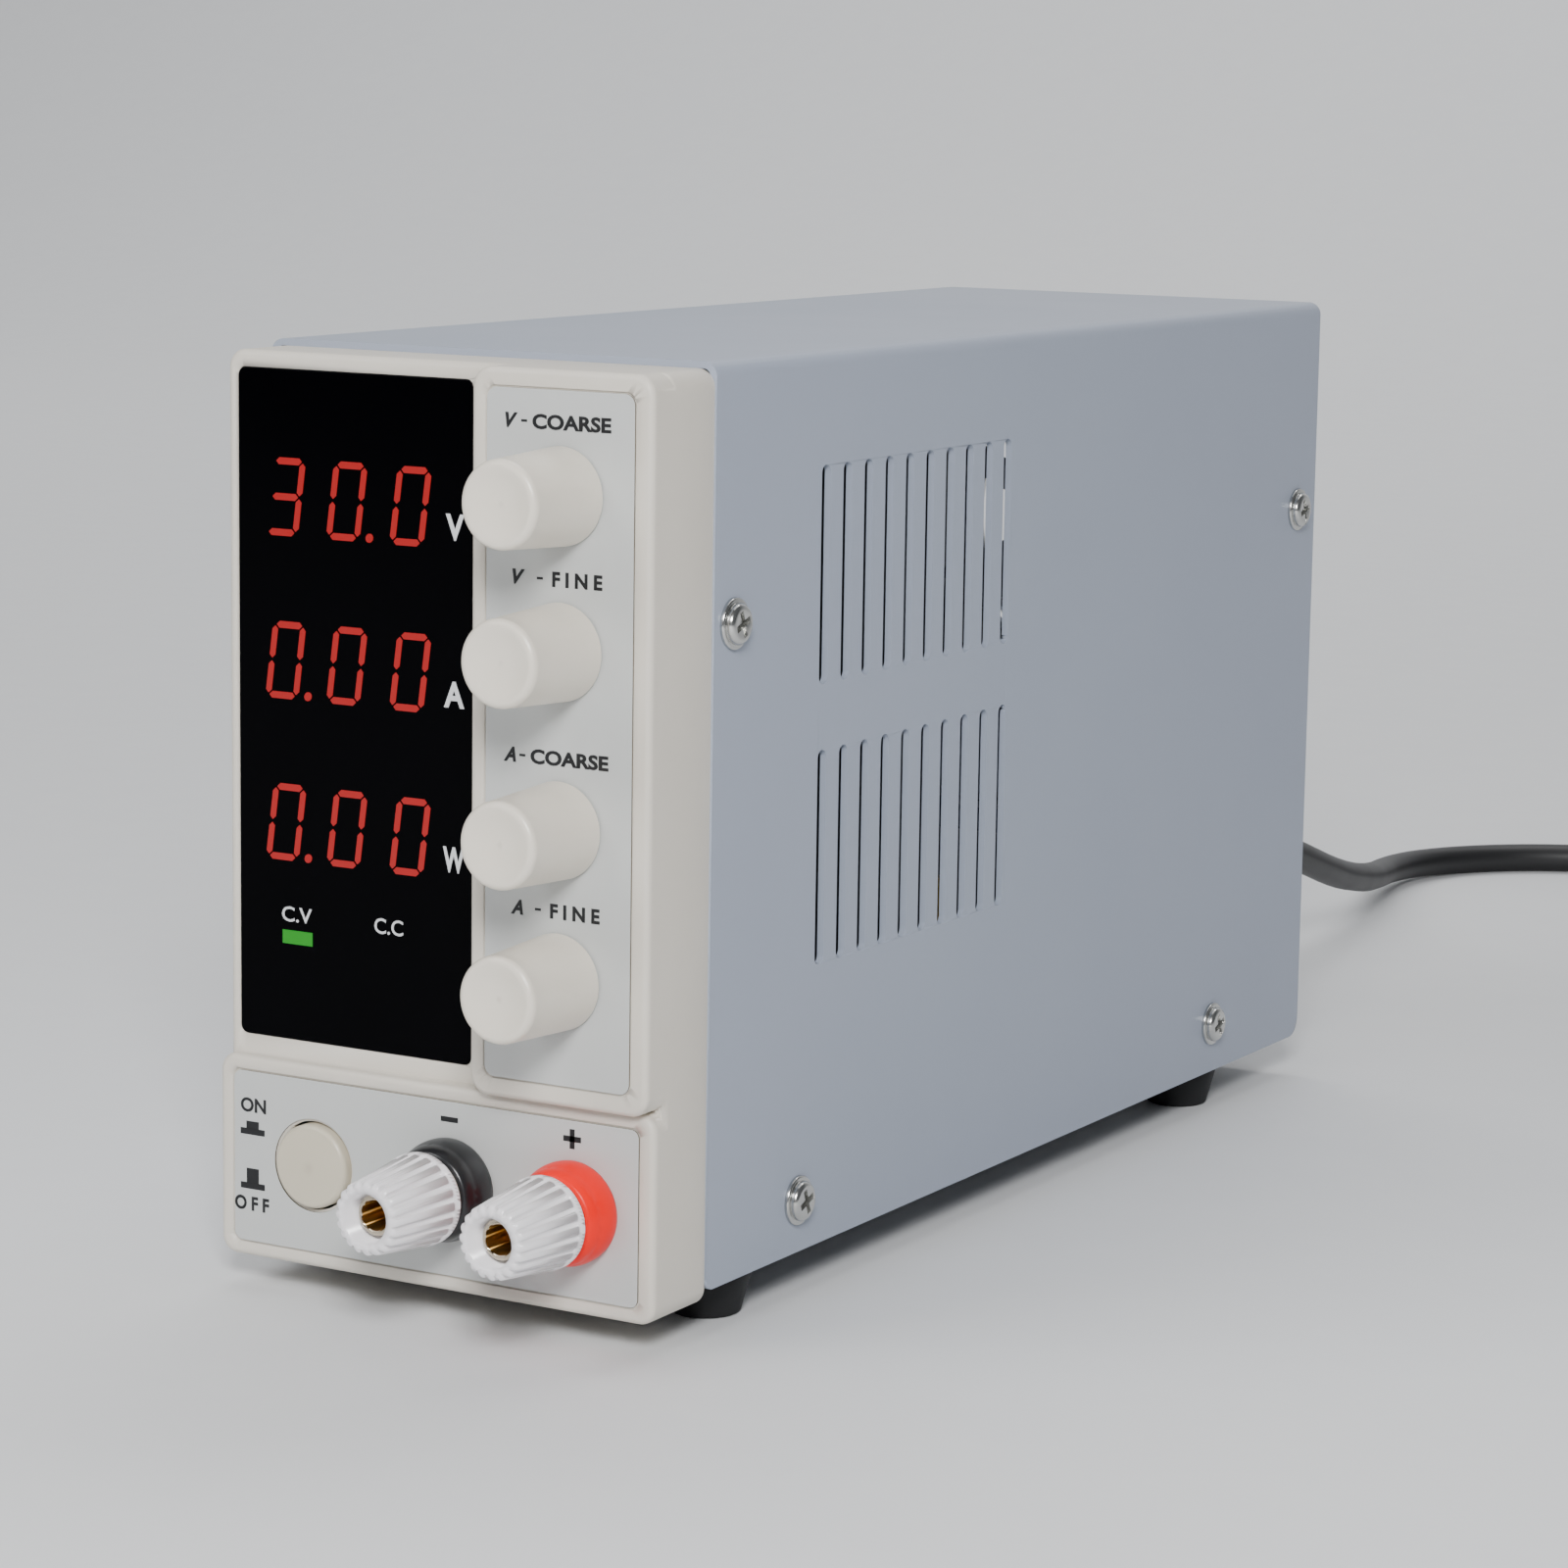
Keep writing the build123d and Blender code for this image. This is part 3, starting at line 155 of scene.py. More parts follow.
cord_curve = bpy.data.curves.new("mains_cord_run", "CURVE")
cord_curve.dimensions = "3D"
cord_curve.bevel_depth = 1.0            # times each point's own radius, which is the cord's
cord_curve.bevel_resolution = 5
cord_curve.resolution_u = 4
cord_curve.use_fill_caps = True
spline = cord_curve.splines.new("NURBS")
spline.points.add(len(cord_points) - 1)
for point, place in zip(spline.points, cord_points):
    point.co = (*place, 1)
    point.radius = cord_radius
spline.order_u = 3
spline.use_endpoint_u = True
cord = bpy.data.objects.new("mains_cord_run", cord_curve)
bpy.context.collection.objects.link(cord)
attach(cord, "case")
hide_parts("mains_cord", "cord_coil")

# %% [markdown]
# ## Floor and light
# The bench is a plain pale sweep: a flat sheet whose far edge is pulled up into a wall, with a wide
# bevel where it turns, so that no horizon shows. The strongest light is a small softbox near the
# front right corner, so the front is bright and the vented side darkens towards its rear. A larger
# one on the left and one above only soften the shadows.

# %% Floor sweep
bpy.ops.object.select_all(action="DESELECT")
bpy.ops.mesh.primitive_plane_add(size=7, location=(0, -1, 0))
floor = bpy.context.object
floor.name = "floor"
bpy.ops.object.mode_set(mode="EDIT")
bpy.ops.mesh.select_all(action="DESELECT")
bpy.ops.object.mode_set(mode="OBJECT")
for edge in floor.data.edges:
    edge.select = all(floor.data.vertices[i].co.y > 3 for i in edge.vertices)
bpy.ops.object.mode_set(mode="EDIT")
bpy.ops.mesh.select_mode(type="EDGE")
bpy.ops.mesh.extrude_region_move(TRANSFORM_OT_translate={"value": (0, 0, 3)})
bpy.ops.object.mode_set(mode="OBJECT")
for edge in floor.data.edges:
    edge.select = all(v.y > 3 and v.z < 0.01 for v in (floor.data.vertices[i].co for i in edge.vertices))
bpy.ops.object.mode_set(mode="EDIT")
bpy.ops.mesh.bevel(offset=1.2, segments=24)
bpy.ops.object.mode_set(mode="OBJECT")
bpy.ops.object.shade_smooth()


# %% Lights
def area_light(name, place, target, size, power):
    lamp = bpy.data.lights.new(name, "AREA")
    lamp.shape = "RECTANGLE"
    lamp.size, lamp.size_y = size
    lamp.energy = power
    holder = bpy.data.objects.new(name, lamp)
    holder.location = place
    holder.rotation_euler = (Vector(target) - Vector(place)).to_track_quat("-Z", "Y").to_euler()
    bpy.context.collection.objects.link(holder)


area_light("key_light", (0.42, -0.72, 0.50), (0, -0.08, 0.06), (0.22, 0.22), 8.5)
area_light("fill_light", (-0.6, -0.85, 0.95), (0, 0, 0.06), (0.6, 0.6), 6)
area_light("top_light", (0.0, 0.3, 1.5), (0, 0, 0.0), (1.0, 1.0), 4)
area_light("sweep_light", (-0.6, 1.1, 2.2), (-1.0, 2.1, 0.6), (2.5, 1.0), 45)
world = bpy.data.worlds.new("studio")
world.use_nodes = True
world.node_tree.nodes["Background"].inputs["Color"].default_value = (0.80, 0.84, 0.90, 1)
world.node_tree.nodes["Background"].inputs["Strength"].default_value = 0.17
bpy.context.scene.world = world

# %% [markdown]
# ## Materials
# Colours are written as the sRGB hex codes that a paint chart or a colour picker shows, and one
# function turns them into the linear values that the renderer adds and multiplies. A second small
# function adds a node with its settings and links, so each finish below reads as a short recipe.

# %% Colour and node helpers
def linear(code, alpha=1.0):
    parts = [int(code[i:i + 2], 16) / 255 for i in (0, 2, 4)]
    return (*[c / 12.92 if c <= 0.04045 else ((c + 0.055) / 1.055) ** 2.4 for c in parts], alpha)


def add_node(tree, kind, inputs=None, **settings):
    """Add a node. An input takes a value, or another node's output socket, which is linked."""
    made = tree.nodes.new(kind)
    for name, value in settings.items():
        setattr(made, name, value)
    for socket, value in (inputs or {}).items():
        if isinstance(value, bpy.types.NodeSocket):
            tree.links.new(value, made.inputs[socket])
        else:
            made.inputs[socket].default_value = value
    return made


def grain_scale(size_mm):
    """Noise scale that gives features of this size on Object coordinates, which are in metres."""
    return 1000 / size_mm


# %% [markdown]
# Most finishes here are one material with a fine texture: moulded plastic, paint, rubber or plated
# metal. They share a recipe: a cloudy noise that shifts the colour and the roughness a little, and a
# fine noise that raises a shallow grain. What differs is the real size and depth of each. The colour
# sockets of a Mix node share their names with its number sockets, so they are given by their places,
# 6 and 7.

# %% Textured finish recipe
def textured(name, colour, tint, roughness, grain_mm, depth_mm, cloud_mm=12.0, rough_spread=0.06, **shader):
    material = bpy.data.materials.new(name)
    material.use_nodes = True
    tree = material.node_tree
    tree.nodes.clear()
    place = add_node(tree, "ShaderNodeTexCoord").outputs["Object"]
    cloud = add_node(tree, "ShaderNodeTexNoise", {"Vector": place, "Scale": grain_scale(cloud_mm),
                                                  "Detail": 4.0, "Roughness": 0.55})
    shade = add_node(tree, "ShaderNodeMix", {"Factor": cloud.outputs["Fac"], 6: linear(colour),
                                             7: linear(tint)}, data_type="RGBA")
    spread = add_node(tree, "ShaderNodeMapRange", {"Value": cloud.outputs["Fac"],
                                                   "To Min": roughness - rough_spread,
                                                   "To Max": roughness + rough_spread})
    grain = add_node(tree, "ShaderNodeTexNoise", {"Vector": place, "Scale": grain_scale(grain_mm),
                                                  "Detail": 2.0, "Roughness": 0.5})
    raised = add_node(tree, "ShaderNodeBump", {"Height": grain.outputs["Fac"], "Distance": depth_mm * MM,
                                               "Strength": 1.0})
    surface = add_node(tree, "ShaderNodeBsdfPrincipled", {"Base Color": shade.outputs[2],
                                                          "Roughness": spread.outputs["Result"],
                                                          "Normal": raised.outputs["Normal"], **shader})
    add_node(tree, "ShaderNodeOutputMaterial", {"Surface": surface.outputs["BSDF"]})
    return material


# %% [markdown]
# The front is injection moulded ABS in a warm cream, with the fine satin texture that a spark
# eroded mould leaves. The knobs, the button and the caps come from smoother moulds, so their
# grain is shallower and their highlights tighter.

# %% Moulded plastics
abs_cream = textured("ABS_moulded_cream", "DAD4C9", "D4CDC1", 0.42, 0.35, 0.012, IOR=1.54)
abs_knob = textured("ABS_moulded_knob", "E6DFD2", "E0D8C9", 0.33, 0.5, 0.006, IOR=1.54)
abs_button = textured("ABS_moulded_button", "CDC5B2", "C7BEA9", 0.30, 0.6, 0.004, IOR=1.54)
abs_white = textured("ABS_moulded_white", "F2EFF1", "ECE9EC", 0.20, 0.8, 0.003, IOR=1.54)
abs_red = textured("ABS_moulded_red", "FF0800", "F80600", 0.34, 0.8, 0.003, IOR=1.54)
abs_red.node_tree.nodes["Principled BSDF"].inputs["Specular IOR Level"].default_value = 0.2
abs_black = textured("ABS_moulded_black", "17181B", "1C1D20", 0.30, 0.6, 0.004, IOR=1.54)
nylon_black = textured("nylon_moulded_black", "141416", "1B1B1D", 0.55, 0.4, 0.01, IOR=1.53)

# %% [markdown]
# The label areas are polycarbonate film, screen printed and stuck into shallow recesses. Film has
# a very even satin face with almost no relief. The window is smoked acrylic with a polished face,
# which has an anti-glare coat, so its specular level is low.

# %% Films and window
printed_film = textured("polycarbonate_film_satin", "C2C4C2", "BEC0BF", 0.40, 0.25, 0.002, IOR=1.58)
smoked_acrylic = textured("acrylic_smoked_polished", "010102", "020204", 0.07, 3.0, 0.002,
                          rough_spread=0.02, IOR=1.49)
smoked_acrylic.node_tree.nodes["Principled BSDF"].inputs["Specular IOR Level"].default_value = 0.04

# %% [markdown]
# The cover is folded steel with a satin powder coat. Powder melts as it cures and leaves orange
# peel: soft ripples about a millimetre across and some micrometres deep. The inner sheet is zinc
# plated, which looks grey and slightly cloudy.

# %% Paint and metals
powder_coat = textured("powder_coated_steel", "9FA7B6", "9BA3B3", 0.38, 0.9, 0.010, cloud_mm=30,
                       rough_spread=0.04, IOR=1.50)
zinc_plate = textured("zinc_plated_steel", "A9ABAE", "9C9EA2", 0.34, 0.8, 0.004, cloud_mm=6,
                      rough_spread=0.10, Metallic=1.0)
nickel_screw = textured("nickel_plated_steel", "C9C9C6", "BDBDBA", 0.20, 0.5, 0.003, Metallic=1.0)
nickel_brass = textured("nickel_plated_brass", "C4BBA8", "B5AC98", 0.18, 0.5, 0.003, Metallic=1.0)
turned_brass = textured("brass_turned", "D9B36A", "C99F56", 0.38, 0.3, 0.004, Metallic=1.0)
aluminium = textured("aluminium_extruded", "8E9092", "828486", 0.46, 0.4, 0.006, Metallic=1.0)

heatsink_black = textured("aluminium_anodised_black", "1B1C1E", "232427", 0.48, 0.4, 0.006, IOR=1.6)

# %% [markdown]
# Rubber and flexible PVC are soft and dull. The feet are moulded rubber; the cord's jacket is
# extruded PVC with a faint mould bloom.

# %% Rubber and cord
foot_rubber = textured("rubber_moulded", "08090B", "0D0E11", 0.72, 0.5, 0.012, IOR=1.52)
cord_pvc = textured("PVC_extruded_black", "121214", "19191B", 0.50, 0.7, 0.008, IOR=1.53)
wire_pvc = textured("PVC_wire_red", "8E1A14", "7C1510", 0.45, 0.7, 0.004, IOR=1.53)
ribbon_pvc = textured("PVC_ribbon_grey", "8F9296", "85888C", 0.48, 0.7, 0.004, IOR=1.53)

# %% [markdown]
# Inside are the parts of a switching supply. They show only through the vents and behind the fan,
# but each still has its own finish: solder mask on glass-epoxy, moulded epoxy, sintered ferrite,
# polyester tape and the dark sleeves of electrolytic capacitors.

# %% Electronics
solder_mask = textured("solder_mask_green", "14502C", "114426", 0.32, 1.5, 0.02, cloud_mm=2.5, IOR=1.55)
epoxy_black = textured("epoxy_moulded_black", "17171A", "1E1E21", 0.55, 0.3, 0.01, IOR=1.55)
ferrite = textured("ferrite_sintered", "27272A", "323235", 0.62, 0.25, 0.02, IOR=2.0)
winding_tape = textured("polyester_tape_yellow", "C9A227", "BD9620", 0.30, 2.0, 0.02, IOR=1.57)
capacitor_sleeve = textured("PET_sleeve_dark_blue", "121C38", "16223F", 0.28, 1.0, 0.004, IOR=1.57)
led_body = textured("epoxy_led_body", "1E0B0B", "2A0F0F", 0.35, 0.6, 0.004, IOR=1.55)

# %% [markdown]
# ## Finished copies of the engineering parts
# The engineering meshes are loose triangles, which show as facets on round shapes. For each part
# in view a copy is merged, its flat areas are cleaned up, sharp edges get a small real radius where
# the real one has it, and the shading is smoothed across shallow angles. Weighted normals let the
# large flat faces keep their own direction, so only the narrow rounds between them bend the light.

# %% Copy, clean and soften
merge_distance = 0.002 * MM
smooth_angle = 35


def refine(name, material, edge_mm, flat_sided):
    """A finished copy of an engineering part, which rides with it and stands for it."""
    source = frame["nodes"][name]
    piece = bpy.data.objects.new(f"{name}_finished", source.data.copy())
    bpy.context.collection.objects.link(piece)
    bpy.ops.object.select_all(action="DESELECT")
    piece.select_set(True)
    bpy.context.view_layer.objects.active = piece
    bpy.ops.object.mode_set(mode="EDIT")
    bpy.ops.mesh.select_all(action="SELECT")
    bpy.ops.mesh.remove_doubles(threshold=merge_distance)
    if edge_mm:
        bpy.ops.mesh.dissolve_limited(angle_limit=radians(0.6))
    bpy.ops.object.mode_set(mode="OBJECT")
    if edge_mm:
        bevel = piece.modifiers.new("edge_radius", "BEVEL")
        bevel.width = edge_mm * MM
        bevel.segments = 2
        bevel.limit_method = "ANGLE"
        bevel.angle_limit = radians(40)
        bpy.ops.object.modifier_apply(modifier=bevel.name)
    bpy.ops.object.shade_smooth_by_angle(angle=radians(smooth_angle))
    if flat_sided:
        evened = piece.modifiers.new("large_faces_lead", "WEIGHTED_NORMAL")
        evened.keep_sharp = True
        bpy.ops.object.modifier_apply(modifier=evened.name)
    piece.data.materials.clear()
    piece.data.materials.append(material)
    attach(piece, body_of_node[name])
    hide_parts(name)
    return piece


# %% Parts in view
outside = {
    "front_bezel": (abs_cream, 0.0), "display_window": (smoked_acrylic, 0.12),
    "knob_label_plate": (printed_film, 0.05), "terminal_label_plate": (printed_film, 0.05),
    "top_cover": (powder_coat, 0.0), "rear_panel": (powder_coat, 0.0),
    "base_pan": (zinc_plate, 0.0), "rubber_feet": (foot_rubber, 0.0), "cover_screws": (nickel_screw, 0.06),
    "power_button": (abs_button, 0.0), "fan_frame": (nylon_black, 0.0), "fan_rotor": (nylon_black, 0.0),
    "fan_guard": (nickel_screw, 0.0), "rear_screws": (nickel_screw, 0.0), "mains_inlet": (nylon_black, 0.1),
    "cord_connector": (cord_pvc, 0.4), "cord_tie": (nylon_black, 0.1), "wall_plug": (cord_pvc, 0.5),
    "plug_pins": (turned_brass, 0.15), "heatsinks": (heatsink_black, 0.0),
}
for knob in ("voltage_coarse", "voltage_fine", "current_coarse", "current_fine"):
    outside[f"{knob}_knob"] = (abs_knob, 0.0)
for post in ("negative", "positive"):
    outside[f"{post}_cap"] = (abs_white, 0.0)
    outside[f"{post}_collar"] = (abs_red if post == "positive" else abs_black, 0.0)
    outside[f"{post}_washer"] = (nickel_brass, 0.1)
    outside[f"{post}_socket"] = (nickel_brass, 0.0)
flat_sided = ("front_bezel", "top_cover", "rear_panel", "base_pan", "display_window", "knob_label_plate",
              "terminal_label_plate", "mains_inlet", "cord_connector", "wall_plug")
finished = {name: refine(name, material, edge_mm, name in flat_sided)
            for name, (material, edge_mm) in outside.items()}
print("finished parts", len(finished))

# %% [markdown]
# The parts that stay inside keep their engineering meshes and only take a finish.

# %% Parts inside
inside = {
    "front_plate": zinc_plate, "chassis_screws": nickel_screw, "bezel_screws": nickel_screw,
    "readout_modules": led_body, "indicator_lamps": led_body, "control_board": solder_mask,
    "potentiometers": epoxy_black,
    "button_spring": nickel_screw, "power_switch": epoxy_black, "post_insulators": nylon_black,
    "post_nuts": nickel_brass, "output_leads": wire_pvc, "ribbon_cable": ribbon_pvc, "mains_wires": wire_pvc,
    "main_board": solder_mask, "standoffs": nickel_brass, "transformer_core": ferrite,
    "transformer_winding": winding_tape, "capacitors": capacitor_sleeve, "power_transistors": epoxy_black,
    "chokes": ferrite, "inlet_pins": turned_brass,
}
for knob in ("voltage_coarse", "voltage_fine", "current_coarse", "current_fine"):
    inside[f"{knob}_shaft"] = aluminium
for name, material in inside.items():
    mesh = frame["nodes"][name].data
    mesh.materials.clear()
    mesh.materials.append(material)
cord_curve.materials.append(cord_pvc)

# %% [markdown]
# The posts' tubes are nickel plated outside and bare brass in the bore, because plating hardly
# reaches down a narrow hole. Faces that face the post's axis, and whose middle is nearer to it than
# the tube's wall, take the brass. The ring at the tube's mouth faces forward and stays bright.

# %% Brass bores
bore_wall = 2.1 * MM
tube_end = terminal_y - 3 * MM
for post in ("negative", "positive"):
    piece = finished[f"{post}_socket"]
    low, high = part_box(f"{post}_collar")
    axis_x, axis_z = (low[0] + high[0]) / 2, (low[2] + high[2]) / 2
    piece.data.materials.append(turned_brass)
    for face in piece.data.polygons:
        off_axis = Vector((face.center.x - axis_x, face.center.z - axis_z)).length
        if off_axis < bore_wall and abs(face.normal.y) < 0.5 and face.center.y < tube_end:
            face.material_index = 1

# %% [markdown]
# The two label films are die cut, and a thin line of painted shade runs round each film where it meets its
# recess; it stands for the shadow in that groove. The films are made a little smaller than their recesses,
# so the line is open, and the faces of the edge take the darker, painted shade finish.

# %% Painted shade on the cut edges of the films
# Painted shade: this dark brownish colour goes on the films' edge faces and stands for the shadow in the
# groove round each film.
film_edge_painted_shade = textured("painted_shade_film_edge", "6F6A5E", "625D52", 0.6, 0.3, 0.004, IOR=1.58)
film_inset = 0.12 * MM
border_width = 1.6 * MM
for name in ("knob_label_plate", "terminal_label_plate"):
    film = finished[name].data
    film.materials.append(film_edge_painted_shade)
    low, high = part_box(name)
    middle_x, middle_z = (low[0] + high[0]) / 2, (low[2] + high[2]) / 2
    shrink_x = 1 - 2 * film_inset / (high[0] - low[0])
    shrink_z = 1 - 2 * film_inset / (high[2] - low[2])
    border = [v for v in film.vertices if min(v.co.x - low[0], high[0] - v.co.x, v.co.z - low[2],
                                              high[2] - v.co.z) < border_width]
    for vertex in border:
        vertex.co.x = middle_x + (vertex.co.x - middle_x) * shrink_x
        vertex.co.z = middle_z + (vertex.co.z - middle_z) * shrink_z
    for face in film.polygons:
        if abs(face.normal.y) < 0.5:
            face.material_index = 1
    print(name, "border points", len(border))

# %% [markdown]
# ## Numerals
# Each readout is a seven segment LED behind the smoked window. A segment is a thin bar with pointed
# ends. A flat one and an upright one are modelled as boxes whose ends are bevelled to points, then
# copied to the places that each numeral lights. The whole numeral leans to the right.

# %% Glowing finishes
def glowing(name, colour, strength, body):
    material = textured(name, body, body, 0.4, 0.5, 0.002, IOR=1.55)
    surface = material.node_tree.nodes["Principled BSDF"]
    surface.inputs["Emission Color"].default_value = linear(colour)
    surface.inputs["Emission Strength"].default_value = strength
    return material


led_red = glowing("LED_lit_red", "FF0000", 0.5, "300000")
led_green = glowing("LED_lit_green", "00E000", 0.4, "003A00")

# %% Sizes of a numeral
segment_thick = 0.92 * MM
segment_depth = 0.04 * MM
segment_gap = 0.42 * MM
point_share = 0.46
digit_height = 10.35 * MM
digit_width = 5.4 * MM
lean = tan(radians(7.5))
bar_across = digit_width - segment_thick
bar_up = (digit_height - segment_thick) / 2
dot_radius = 0.6 * MM
dot_place = (digit_width / 2 + 1.5 * MM, 0, dot_radius - digit_height / 2)


# %% One segment
def segment(length, upright):
    """A flat bar with pointed ends around the origin."""
    bpy.ops.object.select_all(action="DESELECT")
    bpy.ops.mesh.primitive_cube_add(size=1, location=(0, 0, 0))
    bar = bpy.context.object
    bar.scale = (length - segment_gap, segment_depth, segment_thick)
    bpy.ops.object.transform_apply(location=False, rotation=False, scale=True)
    bpy.ops.object.mode_set(mode="EDIT")
    bpy.ops.mesh.select_all(action="DESELECT")
    bpy.ops.object.mode_set(mode="OBJECT")
    for edge in bar.data.edges:
        a, b = [bar.data.vertices[i].co for i in edge.vertices]
        edge.select = abs(a.y - b.y) > segment_depth / 2
    bpy.ops.object.mode_set(mode="EDIT")
    bpy.ops.mesh.select_mode(type="EDGE")
    bpy.ops.mesh.bevel(offset=segment_thick * point_share, segments=1)
    bpy.ops.object.mode_set(mode="OBJECT")
    if upright:
        bar.data.transform(Matrix.Rotation(pi / 2, 4, "Y"))
    return bar


pattern_bars = {False: segment(bar_across, False), True: segment(bar_up, True)}

# %% Numerals from copies of the two bars
segment_places = {
    "a": (0, bar_up, False), "g": (0, 0, False), "d": (0, -bar_up, False),
    "f": (-bar_across / 2, bar_up / 2, True), "b": (bar_across / 2, bar_up / 2, True),
    "e": (-bar_across / 2, -bar_up / 2, True), "c": (bar_across / 2, -bar_up / 2, True),
}
lit_segments = {"0": "abcdef", "3": "abcdg"}


def numeral(character, x, z, name, dot=False):
    """One lit numeral, with its decimal point if it has one, around (x, z) on the window."""
    parts = []
    for key in lit_segments[character]:
        across, up, upright = segment_places[key]
        bar = pattern_bars[upright].copy()
        bar.data = bar.data.copy()
        bar.data.transform(Matrix.Translation((across, 0, up)))
        bpy.context.collection.objects.link(bar)
        parts.append(bar)
    if dot:
        bpy.ops.mesh.primitive_cylinder_add(vertices=24, radius=dot_radius, depth=segment_depth,
                                            rotation=(pi / 2, 0, 0), location=dot_place)
        bpy.ops.object.transform_apply()
        parts.append(bpy.context.object)
    bpy.ops.object.select_all(action="DESELECT")
    for part in parts:
        part.select_set(True)
    bpy.context.view_layer.objects.active = parts[0]
    bpy.ops.object.join()
    whole = bpy.context.object
    whole.name = name
    for vertex in whole.data.vertices:
        vertex.co.x += vertex.co.z * lean
    whole.data.transform(Matrix.Translation((x, display_y - segment_depth / 2, z)))
    whole.data.materials.clear()
    whole.data.materials.append(led_red)
    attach(whole, "case")


# %% Three readouts
digit_x = [-25.1 * MM, -15.2 * MM, -5.1 * MM]
readings = {"volts": (107.35 * MM, "300", 1), "amps": (85.7 * MM, "000", 0), "watts": (64.0 * MM, "000", 0)}
for row, (z, digits, dot_after) in readings.items():
    for place, (character, x) in enumerate(zip(digits, digit_x)):
        numeral(character, x, z, f"numeral_{row}_{place}", dot=place == dot_after)
for pattern in pattern_bars.values():
    bpy.data.objects.remove(pattern)

# %% [markdown]
# ## Printed lettering
# Lettering on the film and the window is screen printed ink a few hundredths of a millimetre thick.
# Each word is a text object with a tiny extrusion, turned into a mesh first and then sized by its
# real height and width, because fonts differ in how much of their size a capital fills.

# %% Inks
ink_dark = textured("screen_ink_dark_grey", "0E0F11", "121316", 0.5, 0.3, 0.002, IOR=1.5)
ink_light = textured("screen_ink_light_grey", "D4D6D8", "CDCFD1", 0.5, 0.3, 0.002, IOR=1.5)
ink_depth = 0.03 * MM


def lettering(name, words, centre, size, face_y, ink, slant=0.0, bold=0.0):
    """Printed words: centre (x, height above the bezel's bottom) and size (width, height), in mm."""
    bpy.ops.object.select_all(action="DESELECT")
    bpy.ops.object.text_add(location=(0, 0, 0))
    letters = bpy.context.object
    letters.data.body = words
    letters.data.size = 1.0
    letters.data.shear = slant
    letters.data.offset = bold
    letters.data.extrude = 0.01
    letters.data.resolution_u = 4
    bpy.ops.object.convert(target="MESH")
    letters = bpy.context.object
    letters.name = name
    xs = [v.co.x for v in letters.data.vertices]
    ys = [v.co.y for v in letters.data.vertices]
    zs = [v.co.z for v in letters.data.vertices]
    middle = Vector(((min(xs) + max(xs)) / 2, (min(ys) + max(ys)) / 2, (min(zs) + max(zs)) / 2))
    fit = Matrix.Diagonal((size[0] * MM / (max(xs) - min(xs)), size[1] * MM / (max(ys) - min(ys)),
                           ink_depth / (max(zs) - min(zs)), 1))
    upright = Matrix.Rotation(pi / 2, 4, "X")
    seat = Matrix.Translation((centre[0] * MM, face_y - ink_depth / 2, bezel_bottom + centre[1] * MM))
    letters.data.transform(seat @ upright @ fit @ Matrix.Translation(-middle))
    letters.data.materials.clear()
    letters.data.materials.append(ink)
    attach(letters, "case")


def flat_mark(name, boxes, face_y, ink):
    """A printed mark of flat bars, each (x, height above the bezel's bottom, width, height), in mm."""
    bars = []
    for x, z, width, height in boxes:
        bpy.ops.object.select_all(action="DESELECT")
        bpy.ops.mesh.primitive_cube_add(size=1, scale=(width * MM, ink_depth, height * MM),
                                        location=(x * MM, face_y - ink_depth / 2, bezel_bottom + z * MM))
        bpy.ops.object.transform_apply()
        bars.append(bpy.context.object)
    bpy.ops.object.select_all(action="DESELECT")
    for bar in bars:
        bar.select_set(True)
    bpy.context.view_layer.objects.active = bars[0]
    if len(bars) > 1:
        bpy.ops.object.join()
    mark = bpy.context.object
    mark.name = name
    mark.data.materials.clear()
    mark.data.materials.append(ink)
    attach(mark, "case")


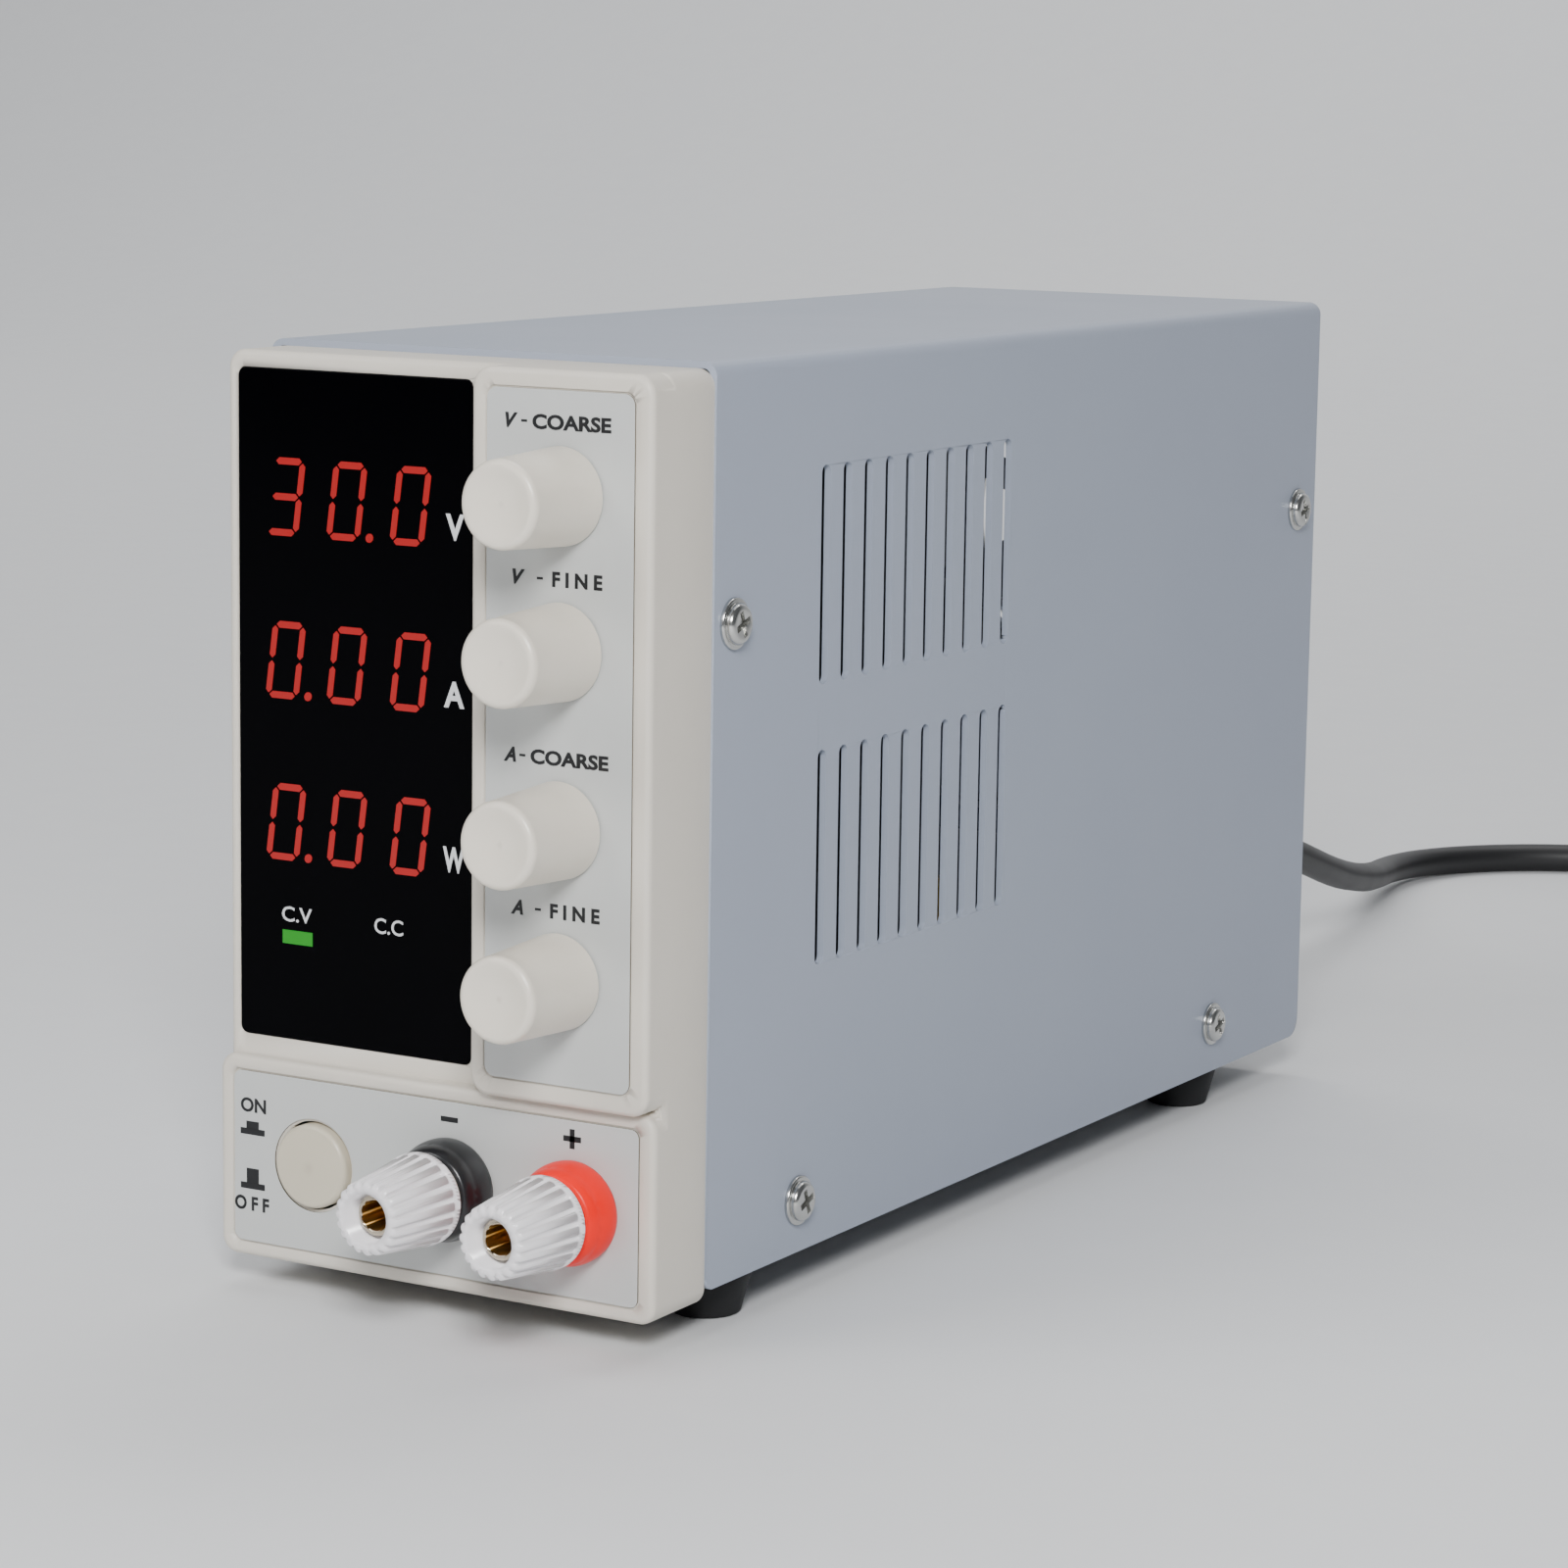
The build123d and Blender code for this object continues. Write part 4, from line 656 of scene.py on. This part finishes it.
# %% Words on the window
lettering("unit_volts", "V", (1.85, 100.65), (2.9, 3.45), display_y, ink_light, bold=0.03)
lettering("unit_amps", "A", (1.8, 78.9), (3.2, 3.45), display_y, ink_light, bold=0.03)
lettering("unit_watts", "W", (1.8, 57.2), (3.4, 3.4), display_y, ink_light, bold=0.03)
lettering("constant_voltage", "C.V", (-23.4, 47.2), (4.9, 2.05), display_y, ink_light, bold=0.01)
lettering("constant_current", "C.C", (-8.5, 47.2), (4.6, 2.1), display_y, ink_light, bold=0.01)
flat_mark("voltage_lamp", [(-23.3, 44.1, 4.9, 1.85)], display_y, led_green)

# %% Words on the knob column
label_rows = {"V": (115.4, 95.65), "A": (72.85, 53.15)}
initial_size = (1.9, 1.95)
coarse_size = (11.75, 1.95)
fine_size = (7.5, 1.95)
dash_size = (0.9, 0.32)
for letter, (coarse_z, fine_z) in label_rows.items():
    lettering(f"{letter}_coarse_letter", letter, (13.5, coarse_z), initial_size, column_y, ink_dark,
              slant=0.3, bold=0.045)
    lettering(f"{letter}_coarse_word", "COARSE", (22.5, coarse_z), coarse_size, column_y, ink_dark,
              bold=0.04)
    flat_mark(f"{letter}_coarse_dash", [(15.4, coarse_z, *dash_size)], column_y, ink_dark)
    lettering(f"{letter}_fine_letter", letter, (14.7, fine_z), initial_size, column_y, ink_dark,
              slant=0.3, bold=0.045)
    lettering(f"{letter}_fine_word", "F I N E", (23.5, fine_z), fine_size, column_y, ink_dark,
              bold=0.04)
    flat_mark(f"{letter}_fine_dash", [(17.9, fine_z, *dash_size)], column_y, ink_dark)

# %% Words and marks around the button and the posts
lettering("button_on", "ON", (-28.9, 20.95), (4.2, 2.0), terminal_y, ink_dark, bold=0.03)
lettering("button_off", "O F F", (-29.2, 7.35), (5.7, 2.0), terminal_y, ink_dark, bold=0.035)
flat_mark("button_in_mark", [(-29.05, 17.3, 4.0, 0.85), (-29.05, 18.2, 2.05, 1.05)], terminal_y, ink_dark)
flat_mark("button_out_mark", [(-29.05, 9.8, 4.0, 0.85), (-29.05, 11.2, 2.0, 2.05)], terminal_y, ink_dark)
flat_mark("negative_mark", [(2.9, 23.25, 2.7, 0.7)], terminal_y, ink_dark)
flat_mark("positive_mark", [(22.0, 23.2, 2.7, 0.75), (22.0, 23.2, 0.75, 2.6)], terminal_y, ink_dark)

# %% [markdown]
# ## Floor finish
# The bench is matt and pale, so it catches soft shadows without colouring the supply.

# %% Floor material
floor_matt = textured("bench_laminate_matt", "E2E3E4", "DEDFE1", 0.6, 1.0, 0.01, IOR=1.5)
floor.data.materials.append(floor_matt)
